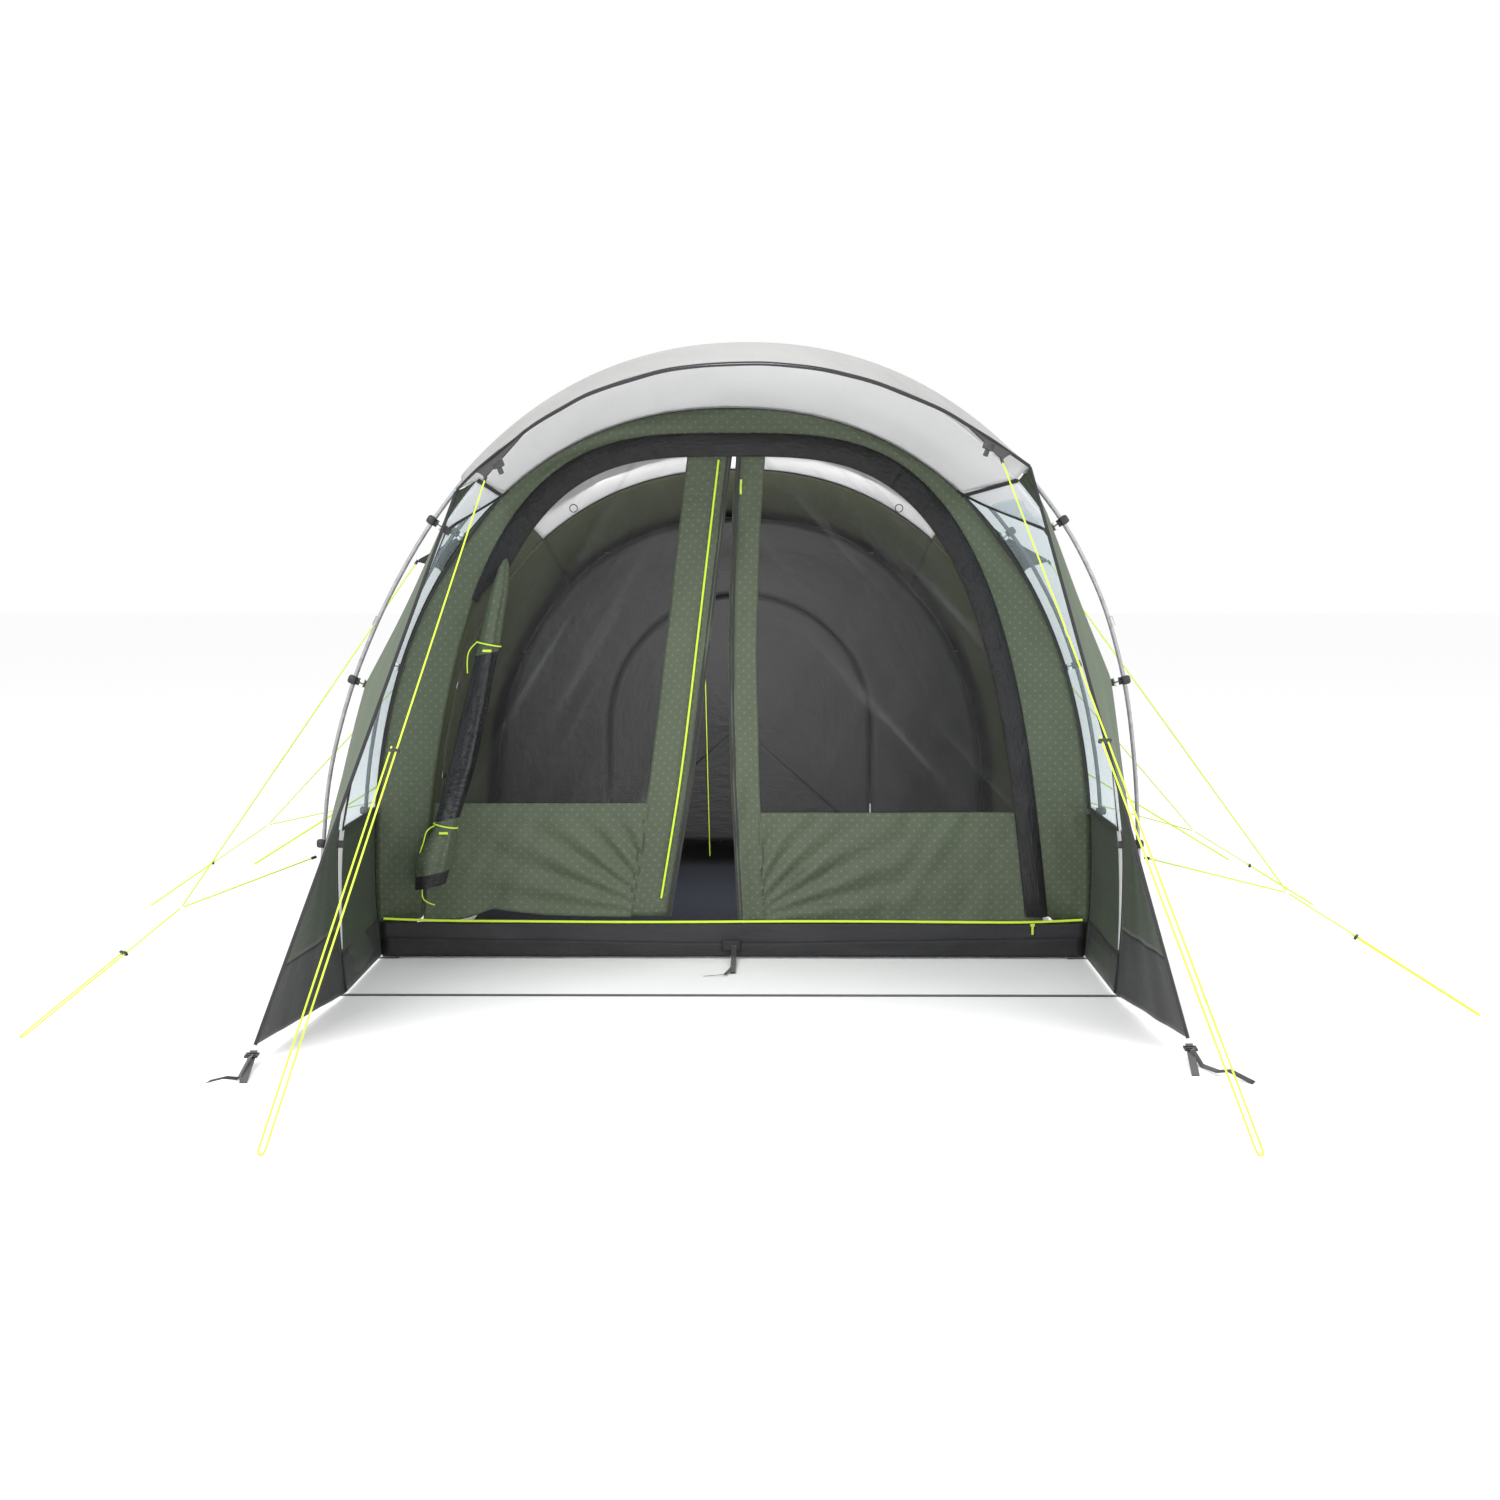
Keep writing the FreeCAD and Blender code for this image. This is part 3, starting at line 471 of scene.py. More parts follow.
def grid_cloth(name: str, columns: int, rows: int, place: Place, thick: float = 0.0012,
               spot: Optional[Place] = None, wrap: bool = False) -> bpy.types.Object:
    """A sheet of cloth from a grid that is bent into place.

    Args:
        name: piece name.
        columns: faces along the first direction.
        rows: faces along the second direction.
        place: maps two shares from 0 to 1 to a point in metres.
        thick: cloth thickness.
        spot: maps the two shares to pattern coordinates in metres; arc lengths where left out.
        wrap: whether the first direction closes on itself.

    Returns:
        The piece, with its cut size stored on it.
    """
    bm = bmesh.new()
    bmesh.ops.create_grid(bm, x_segments=columns, y_segments=rows, size=0.5)
    layer = bm.loops.layers.uv.new("cloth")
    shares = {v: (v.co.x + 0.5, v.co.y + 0.5) for v in bm.verts}
    width = path_length([place(i / columns, 0.5) for i in range(columns + 1)])
    length = path_length([place(0.5, i / rows) for i in range(rows + 1)])
    for face in bm.faces:
        for loop in face.loops:
            u, w = shares[loop.vert]
            p = spot(u, w) if spot else Vector((u * width, w * length, 0))
            loop[layer].uv = (p[0], p[1])
    for vert, (u, w) in shares.items():
        vert.co = place(u, w)
    if wrap:
        bmesh.ops.remove_doubles(bm, verts=bm.verts, dist=0.0004)
    area = sum(face.calc_area() for face in bm.faces)
    piece = smooth_piece(bm, name)
    if thick > 0:
        wall = piece.modifiers.new("cloth", "SOLIDIFY")
        wall.thickness = thick
        wall.offset = 0.0
    piece["cut"] = (width, length, area)
    return piece


CUT_ALLOWANCE = 1.002       # a sheet is cut a little larger than its area needs
LEAST_SHARE = 0.32          # smallest share of its flat rectangle that a curved sheet fills


def declare_cloth(piece: bpy.types.Object) -> None:
    """Work out the scale that a sheet is cut to, then remove the cut size stored on it.

    Args:
        piece: a sheet from grid_cloth, with its cut size stored on it.
    """
    width, length, area = piece["cut"]
    scale = max(1.0, math.sqrt(area / (width * length)) * CUT_ALLOWANCE)
    share = area / (width * scale * length * scale)
    if share < LEAST_SHARE:
        scale *= math.sqrt(share / LEAST_SHARE)
    del piece["cut"]


def path_length(points: Sequence[Vector]) -> float:
    """Length of a line through points."""
    return sum((b - a).length for a, b in zip(points, points[1:]))


def mix(a: float, b: float, share: float) -> float:
    """Straight-line mix of two numbers."""
    return a + (b - a) * share


def ease(share: float) -> float:
    """Smooth step from 0 to 1."""
    share = min(max(share, 0.0), 1.0)
    return share * share * (3.0 - 2.0 * share)


def table(stops: Sequence[Tuple[float, float]], at: float) -> float:
    """Value at a place along a few stops, in straight lines between them."""
    if at <= stops[0][0]:
        return stops[0][1]
    for (a, first), (b, second) in zip(stops, stops[1:]):
        if at <= b:
            return mix(first, second, (at - a) / (b - a))
    return stops[-1][1]


def ripple(x: float, y: float, z: float, depth: float) -> float:
    """Smooth uneven movement of cloth, in metres."""
    return depth * noise.noise(Vector((x, y, z)))


def line_piece(name: str, points: Sequence[Vector], radius: float, smooth: bool = True) -> bpy.types.Object:
    """A round cord, piping or wire along a few points, as one open smooth spline.

    Args:
        name: piece name.
        points: control points, the first and last of which lie on the line.
        radius: half its thickness.
        smooth: whether it bends smoothly instead of turning at each point.

    Returns:
        The line, not dressed yet.
    """
    curve = bpy.data.curves.new(name, "CURVE")
    curve.dimensions = "3D"
    spline = curve.splines.new("NURBS")
    spline.points.add(len(points) - 1)
    for spot, point in zip(spline.points, points):
        spot.co = (*point, 1.0)
    spline.order_u = 3 if smooth and len(points) > 2 else 2
    spline.use_endpoint_u = True
    curve.bevel_depth = radius
    curve.bevel_resolution = 3
    curve.use_fill_caps = True
    curve.resolution_u = 6
    piece = bpy.data.objects.new(name, curve)
    bpy.context.scene.collection.objects.link(piece)
    return piece


def strap_piece(name: str, points: Sequence[Vector], across: Vector, width: float, thick: float) -> bpy.types.Object:
    """A flat strap that follows points, with its width along a fixed direction.

    Args:
        name: piece name.
        points: middle line of the strap.
        across: direction of its width.
        width: its width.
        thick: its thickness.

    Returns:
        The strap, with its cut size stored on it.
    """
    total = max(len(points) - 1, 1)
    side = across.normalized()

    def place(u: float, w: float) -> Vector:
        """Point on the strap's middle surface."""
        spot = w * total
        i = min(int(spot), total - 1)
        return points[i].lerp(points[i + 1], spot - i) + side * (u - 0.5) * width

    return grid_cloth(name, 4, total * 6, place, thick)


# ------------------------------------------------------------------ shape of the tunnel

LEAN_FROM = 0.460           # height where a leaning arch leaves the upright
LEAN_OVER = 0.960           # rise over which it reaches its full lean
FOOT_TURN = 30.0            # angle from the knee to the foot


@dataclass(frozen=True)
class Arch:
    """A cross-section of the tunnel, in metres, as the frame holds it."""

    y: float
    half: float
    knee: float
    rise: float
    power: float
    foot: float
    lean: float = 0.0

    def xz(self, angle: float) -> Tuple[float, float]:
        """Place on the arch: 0 is the crown, 90 the knee, 120 the foot, signed by side."""
        side = -1.0 if angle < 0 else 1.0
        size = abs(angle)
        if size <= 90.0:
            e = 2.0 / self.power
            x = self.half * math.sin(math.radians(size)) ** e
            z = self.knee + self.rise * max(math.cos(math.radians(size)), 0.0) ** e
        else:
            share = (size - 90.0) / FOOT_TURN
            x = self.half + (self.foot - self.half) * share ** 2
            z = self.knee * (1.0 - share)
        up = min(max((z - LEAN_FROM) / LEAN_OVER, 0.0), 1.0)
        return side * x + self.lean * up * up * (3.0 - 2.0 * up), z

    def angle_at(self, z: float) -> float:
        """Right-hand angle at a height."""
        if z >= self.knee:
            return math.degrees(math.acos(((z - self.knee) / self.rise) ** (self.power / 2.0)))
        return 90.0 + FOOT_TURN * (1.0 - z / self.knee)

    def outward(self, angle: float) -> Vector:
        """Unit vector out of the tunnel."""
        x0, z0 = self.xz(angle - 0.5)
        x1, z1 = self.xz(angle + 0.5)
        return Vector((-(z1 - z0), 0.0, x1 - x0)).normalized()

    def point(self, angle: float, offset: float = 0.0) -> Vector:
        """Point on the arch, moved out by an offset."""
        x, z = self.xz(angle)
        return Vector((x, self.y, z)) + self.outward(angle) * offset


def middle_y(node: str) -> float:
    """Station of a frame node along the tunnel."""
    low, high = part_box(node)
    return (low[1] + high[1]) / 2.0


Y_A, Y_B, Y_C, Y_D = (middle_y("pole_" + word) for word in "abcd")
Y_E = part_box("rear_panel")[1][1]
Y_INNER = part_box("inner_front")[0][1]
SKIN_A = Arch(Y_A, 1.176, 0.350, 1.555, 2.12, 1.158, 0.053)
SKIN_B = Arch(Y_B, 1.180, 0.300, 1.500, 2.20, 1.165)
SKIN_C = Arch(Y_C, 1.165, 0.300, 1.370, 2.20, 1.150)
SKIN_D = Arch(Y_D, 1.080, 0.280, 1.200, 2.20, 1.065)
SKIN_E = Arch(Y_E, 0.800, 0.012, 0.060, 4.00, 0.798)
POLE_A = Arch(Y_A, 1.222, 0.350, 1.577, 2.12, 1.204, 0.053)
POLE_B = Arch(Y_B, 1.214, 0.300, 1.536, 2.20, 1.199)
POLE_C = Arch(Y_C, 1.193, 0.300, 1.386, 2.20, 1.178)
POLE_D = Arch(Y_D, 1.106, 0.280, 1.216, 2.20, 1.091)
SEAMS = {"a": 1.540, "b": 1.520, "c": 1.400, "d": 1.180}
WINDOW_SILL = 0.500
HEM = 0.006
SIDES = (("left", -1.0), ("right", 1.0))
SCALLOPS = ((1.42, 0.95, 0.034), (0.95, 0.46, 0.014))


def scallop(z: float) -> float:
    """How far the first arch's seam is drawn in between two clips, at a height."""
    for high, low, depth in SCALLOPS:
        if low < z < high:
            return depth * math.sin(math.pi * (z - low) / (high - low))
    return 0.0


@dataclass(frozen=True)
class Doorway:
    """Outline of the arched doorway."""

    foot: float = 0.140
    rise: float = 1.570
    half: float = 1.031
    taper: float = 0.17
    power: float = 3.4
    band: float = 0.070

    def at(self, turn: float, inset: float = 0.0) -> Tuple[float, float]:
        """Right-hand outline: turn 0 is the foot and 90 the apex."""
        rise = self.rise - inset
        u = math.sin(math.radians(turn)) ** (2.0 / self.power)
        z = self.foot + rise * u
        wide = (1.0 - max(u, 0.0) ** self.power)
        x = (self.half - inset) * (1.0 - self.taper * u) * max(wide, 0.0) ** (1.0 / self.power)
        return (x if turn < 90.0 else 0.0), z

    def half_at(self, z: float, inset: float = 0.0) -> float:
        """Half-width at a height."""
        u = min(max((z - self.foot) / (self.rise - inset), 0.0), 1.0)
        return (self.half - inset) * (1.0 - self.taper * u) * (1.0 - u ** self.power) ** (1.0 / self.power)

    def both(self, share: float, inset: float = 0.0) -> Tuple[float, float]:
        """Whole outline from the left foot over the apex to the right foot."""
        side = -1.0 if share < 0.5 else 1.0
        x, z = self.at(90.0 * (1.0 - abs(2.0 * share - 1.0)), inset)
        return side * x, z


DOOR = Doorway()


# ------------------------------------------------------------------ outer cloth

@dataclass
class OuterShell:
    """The outer tent's cloth panels between the arches."""

    sag: float = 0.022
    around: int = 90
    along: int = 22

    def panel(self, name: str, front: Arch, rear: Arch, fronts: Tuple[float, float],
              rears: Tuple[float, float], finish: Finish, slot: str, sag: Optional[float] = None,
              around: Optional[int] = None, lining: Optional[Finish] = None) -> bpy.types.Object:
        """One panel, pulled in between its arches like stretched cloth.

        Args:
            name: the frame node that it stands for.
            front: arch at its front seam.
            rear: arch at its rear seam.
            fronts: first and last angle on the front arch.
            rears: first and last angle on the rear arch.
            finish: cloth finish.
            slot: record slot; not used.
            sag: depth that the cloth pulls in halfway between the arches.
            around: faces round the arch.
            lining: finish of the side that faces into the tent, where that differs.

        Returns:
            The dressed piece.
        """
        depth = self.sag if sag is None else sag

        def place(u: float, w: float) -> Vector:
            """Point on the panel."""
            a, b = mix(*fronts, u), mix(*rears, u)
            drawn = scallop(front.xz(a)[1]) if front is SKIN_A and abs(a) > 40.0 else 0.0
            p = front.point(a, -0.001 - drawn).lerp(rear.point(b, -0.001), w)
            out = front.outward(a).lerp(rear.outward(b), w).normalized()
            belly = 4.0 * w * (1.0 - w)
            edge = min(u, 1.0 - u) * 12.0
            pull = depth * belly * min(edge, 1.0)
            fold = ripple(a * 0.10, w * 1.5, p.y, 0.007) * belly
            fold += ripple(a * 0.45, w * 0.9, 4.0, 0.0035) * min(1.0, 6 * belly)
            return p - out * (pull + fold)

        piece = grid_cloth(name + "_cloth", around or self.around, self.along, place)
        if lining is not None and fronts[0] < 0 and fronts[1] < fronts[0]:
            finish, lining = lining, finish
        dress(piece, finish, slot, TENT, [name], lining)
        declare_cloth(piece)
        return piece

    def build(self) -> None:
        """Make every outer panel."""
        a, b, c, d = (arch.angle_at(SEAMS[w]) for arch, w in
                      ((SKIN_A, "a"), (SKIN_B, "b"), (SKIN_C, "c"), (SKIN_D, "d")))
        self.panel("roof_front", SKIN_A, SKIN_B, (-a, a), (-b, b), Finish.GREY, "grey_cloth", 0.008,
                   lining=Finish.CEILING)
        self.panel("roof_living", SKIN_B, SKIN_C, (-b, b), (-c, c), Finish.GREY, "grey_cloth",
                   lining=Finish.CEILING)
        self.panel("roof_bedroom", SKIN_C, SKIN_D, (-c, c), (-d, d), Finish.OLIVE, "green_cloth",
                   lining=Finish.OLIVE_IN)
        self.panel("rear_panel", SKIN_D, SKIN_E, (-119, 119), (-119, 119), Finish.OLIVE, "green_cloth",
                   0.03, 150)
        low_a, low_b, low_c, low_d = (arch.angle_at(HEM) for arch in (SKIN_A, SKIN_B, SKIN_C, SKIN_D))
        sill_a, sill_b = SKIN_A.angle_at(WINDOW_SILL), SKIN_B.angle_at(WINDOW_SILL)
        for word, s in SIDES:
            self.panel("window_" + word, SKIN_A, SKIN_B, (s * a, s * sill_a), (s * b, s * sill_b),
                       Finish.FOIL, "window_film", 0.006, 40)
            self.panel("porch_side_" + word, SKIN_A, SKIN_B, (s * sill_a, s * low_a),
                       (s * sill_b, s * low_b), Finish.WING, "green_cloth", 0.006, 24)
            self.panel("living_side_" + word, SKIN_B, SKIN_C, (s * b, s * low_b), (s * c, s * low_c),
                       Finish.OLIVE, "green_cloth", None, 60, Finish.OLIVE_IN)
            self.panel("bedroom_side_" + word, SKIN_C, SKIN_D, (s * c, s * low_c), (s * d, s * low_d),
                       Finish.OLIVE, "green_cloth", None, 60, Finish.OLIVE_IN)
        LOG.info("outer shell done")


@dataclass
class Visor:
    """The visor in front of the first arch and its binding; its guy patches are made with the trims."""

    depth: float = 0.400
    corner: float = 0.080
    drop: float = 0.070
    pull_left: Tuple[float, float] = (-0.053, -0.035)
    pull_right: Tuple[float, float] = (0.027, 0.035)

    def point(self, share: float, forward: float, offset: float = 0.0) -> Vector:
        """Point on the visor: share -1 to 1 across, forward 0 to 1 to its front edge."""
        angle = SKIN_A.angle_at(SEAMS["a"]) * share
        swell = math.cos(math.radians(90.0 * share)) ** 0.8 if abs(share) < 1 else 0.0
        reach = self.corner + (self.depth - self.corner) * swell
        aside, lift = self.pull_left if share < 0 else self.pull_right
        far = abs(share) ** 4 * forward
        away = Vector((aside * far, -reach * forward, lift * far - self.drop * swell * forward))
        return SKIN_A.point(angle, offset) + away

    def build(self) -> None:
        """Make the visor's cloth and its binding."""
        def cloth(u: float, w: float) -> Vector:
            """Point on the visor's cloth."""
            p = self.point(2.0 * u - 1.0, 1.0 - w, -0.001)
            return p + Vector((0, 0, ripple(u * 14.0, w * 1.2, 0.0, 0.006) * (1.0 - w) * 0.8))

        piece = grid_cloth("visor_cloth", 96, 16, cloth)
        dress(piece, Finish.GREY, "grey_cloth", TENT, ["visor"], Finish.CEILING)
        declare_cloth(piece)

        def binding(u: float, w: float) -> Vector:
            """Point on the folded binding round the front edge."""
            turn = 2.0 * math.pi * w
            p = self.point(2.0 * u - 1.0, 0.985, 0.0)
            p.z += ripple(u * 14.0, 0.0, 0.0, 0.0048)
            return p + Vector((0, 0.006 * math.cos(turn), 0.006 * math.sin(turn) - 0.002))

        edge = grid_cloth("visor_binding", 96, 10, binding, 0.0, None)
        dress(edge, Finish.BINDING, "black_cloth")
        LOG.info("visor done")


VISOR = Visor()


FRONT_ANCHORS = {-1.0: Vector((-0.680, Y_A - 0.262, 1.534)), 1.0: Vector((0.767, Y_A - 0.262, 1.583))}
WING_TIPS = {"left": Vector((1.222, Y_A - 0.812, 0.040)), "right": Vector((1.222, Y_A - 0.720, 0.040))}


@dataclass
class Wings:
    """The two panels from the front pole forward to the pegged corners."""

    flap: float = 0.13

    def spot(self, word: str, down: float, share: float) -> Vector:
        """Point on a wing: down 0 to 1 from the corner, share 0 at the pole, 1 at the front."""
        side = dict(SIDES)[word]
        corner = VISOR.point(side, 1.0) - Vector((0, 0, 0.006))
        corner.x *= side
        z = mix(SEAMS["a"] - 0.004, HEM, down)
        back = SKIN_A.point(side * SKIN_A.angle_at(z), -scallop(z))
        back.x *= side
        tip = WING_TIPS[word]
        front = corner.lerp(Vector((abs(tip.x), tip.y, tip.z)), down)
        p = back.lerp(front, share)
        bulge = 0.022 * math.sin(math.pi * share) * math.sin(math.pi * min(down * 1.2, 1.0))
        fold = ripple(down * 3.0, share * 4.0, side, 0.008) * math.sin(math.pi * share)
        return Vector((side * (p.x + bulge + fold), p.y, p.z))

    def build(self) -> None:
        """Make both wings with their mud flaps and front edges."""
        for word, side in SIDES:
            faces = (Finish.WING_OUT, Finish.WING) if side > 0 else (Finish.WING, Finish.WING_OUT)
            top = 1.0 - self.flap
            wing = grid_cloth("wing_cloth_" + word, 40, 90, lambda u, w: self.spot(word, w * top, u))
            dress(wing, faces[0], "green_cloth", TENT, ["wing_" + word], faces[1])
            declare_cloth(wing)
            flap = grid_cloth("wing_mud_flap_" + word, 40, 16, lambda u, w: self.spot(word, mix(top, 1.0, w), u))
            dress(flap, Finish.SILL, "black_cloth")
            declare_cloth(flap)
            edge = [self.spot(word, d, 1.0) for d in (0.0, 0.2, 0.4, 0.6, 0.8, 1.0)]
            dress(line_piece("wing_edge_" + word, edge, 0.0050), Finish.BINDING, "black_cloth")
        LOG.info("wings done")


@dataclass
class Trims:
    """Strips, tapes and patches sewn along the seams of the outer tent."""

    def bay(self, side: float, z: float, share: float, inset: float) -> Vector:
        """Point on the porch side between the first two arches, moved inwards."""
        a, b = SKIN_A.angle_at(z) * side, SKIN_B.angle_at(z) * side
        return SKIN_A.point(a, -inset - scallop(z)).lerp(SKIN_B.point(b, -inset), share)

    def build(self) -> None:
        """Make the trims of both sides and of the roof."""
        for word, side in SIDES:
            self.window_frame(word, side)
            self.mud_strip(word, side)
            self.patches(word, side)
        self.pole_cover()
        self.seam_tapes()
        LOG.info("trims done")

    def window_frame(self, word: str, side: float) -> None:
        """The pale corner panel, the strip by the first pole and the dark edges of the window."""
        top, low = 1.532, 1.395

        def corner(u: float, w: float) -> Vector:
            """Point on the corner panel, cut to a curve at its rear."""
            wide = (1.0 - w ** 1.5) * 0.96 + 0.04
            return self.bay(side, mix(top, low, w), u * wide, 0.0045)

        def strip(u: float, w: float) -> Vector:
            """Point on the strip down the first pole, wider near the ground."""
            z = mix(low, 0.14, w)
            wide = table(((0.14, 0.02), (0.50, 0.12), (0.80, 0.05), (1.40, 0.04)), z)
            return self.bay(side, z, u * wide, 0.0045)

        for name, place in (("corner", corner), ("strip", strip)):
            piece = grid_cloth("window_%s_%s" % (name, word), 12, 40, place)
            dress(piece, Finish.CEILING, "grey_cloth")
        curve = [corner(1.0, w) + Vector((-side * 0.002, 0, 0)) for w in (0.0, 0.25, 0.5, 0.75, 1.0)]
        front = [self.bay(side, z, 0.045, 0.006) for z in (1.39, 1.2, 1.0, 0.8, 0.5)]
        rear = [self.bay(side, z, 0.985, 0.005) for z in (1.51, 1.3, 1.1, 0.9, 0.7, 0.5)]
        sill = [self.bay(side, WINDOW_SILL, share, 0.005) for share in (0.04, 0.35, 0.7, 0.99)]
        for name, route, radius in (("curve", curve, 0.0045), ("front", front, 0.0032), ("rear", rear, 0.0045),
                                    ("sill", sill, 0.0055)):
            dress(line_piece("window_%s_%s" % (name, word), route, radius), Finish.BINDING, "black_cloth")

    def mud_strip(self, word: str, side: float) -> None:
        """The black strip along the foot of the porch side."""
        piece = grid_cloth("porch_mud_strip_" + word, 30, 6,
                           lambda u, w: self.bay(side, mix(0.128, HEM + 0.002, w), u, 0.0045))
        dress(piece, Finish.SILL, "black_cloth")

    def patches(self, word: str, side: float) -> None:
        """The triangular patches that the guy lines pull on."""
        for name, arch, high, low, tip in (("b", SKIN_B, 1.41, 1.27, (1.022, 0.590, 1.306)),
                                           ("c", SKIN_C, 1.34, 1.20, (0.925, 1.870, 1.262)),
                                           ("d", SKIN_D, 0.76, 0.60, (1.072, 3.200, 0.668))):
            base = [arch.point(side * arch.angle_at(z), -0.001) for z in (high, low)]
            self.triangle("guy_patch_%s_%s" % (name, word), base[0], base[1],
                          Vector((side * tip[0], tip[1] + Y_A, tip[2])), Finish.PATCH)
        left, right = (VISOR.point(side * share, 0.99) for share in (0.70, 0.93))
        self.triangle("visor_patch_" + word, left, right, FRONT_ANCHORS[side], Finish.BINDING)

    @staticmethod
    def triangle(name: str, a: Vector, b: Vector, tip: Vector, finish: Finish) -> None:
        """A triangular patch between two seam points and its tip."""
        tip_near = tip.lerp((a + b) / 2.0, 0.02)

        def place(u: float, w: float) -> Vector:
            """Point on the patch; its sides are cut a little hollow."""
            wide = 1.0 - 0.93 * w ** 0.8
            middle = (a + b) / 2.0
            return middle.lerp(tip_near, w) + (b - a) * (u - 0.5) * wide

        dress(grid_cloth(name, 8, 12, place, 0.0018), finish, "black_cloth")

    def pole_cover(self) -> None:
        """The grey cover that runs from the visor's binding up and over the first pole."""
        limit, radius = POLE_A.angle_at(1.555), 0.0095

        def place(u: float, w: float) -> Vector:
            """Point on the cover: w 0 behind the binding, 1 behind the pole."""
            share = mix(-1.0, 1.0, u)
            angle = share * limit
            out = POLE_A.outward(angle)
            rise = min(w / 0.7, 1.0)
            turn = math.radians(120.0) * max(0.0, (w - 0.7) / 0.3)
            top = POLE_A.point(angle) + out * (radius * math.cos(turn)) + Vector((0, radius * math.sin(turn), 0))
            crumple = ripple(u * 34.0 + rise * 3.0, rise * 0.9, 0.0, 0.011) * math.sin(math.pi * rise)
            return VISOR.point(share, 0.965, 0.003).lerp(top, rise) + out * crumple

        piece = grid_cloth("pole_cover", 160, 18, place, 0.0012)
        dress(piece, Finish.GREY, "grey_cloth")
        declare_cloth(piece)

    def seam_tapes(self) -> None:
        """Dark tapes inside the roof along the arches, and from the visor's corners to the wall."""
        for name, arch, width in (("b", SKIN_B, 0.020), ("c", SKIN_C, 0.030)):
            limit = arch.angle_at(SEAMS[name])

            def tape(u: float, w: float) -> Vector:
                """Point on the tape."""
                return arch.point(mix(-limit, limit, u), -0.0065) + Vector((0, (w - 0.5) * width, 0))

            dress(grid_cloth("seam_tape_" + name, 120, 3, tape), Finish.BINDING, "black_cloth")
        for word, side in SIDES:
            route = [self.bay(side, mix(SEAMS["a"], SEAMS["b"], t) - 0.002, t, 0.004) for t in (0.0, 0.5, 1.0)]
            dress(line_piece("visor_seam_" + word, route, 0.0065), Finish.BINDING, "black_cloth")


# ------------------------------------------------------------------ front wall and door

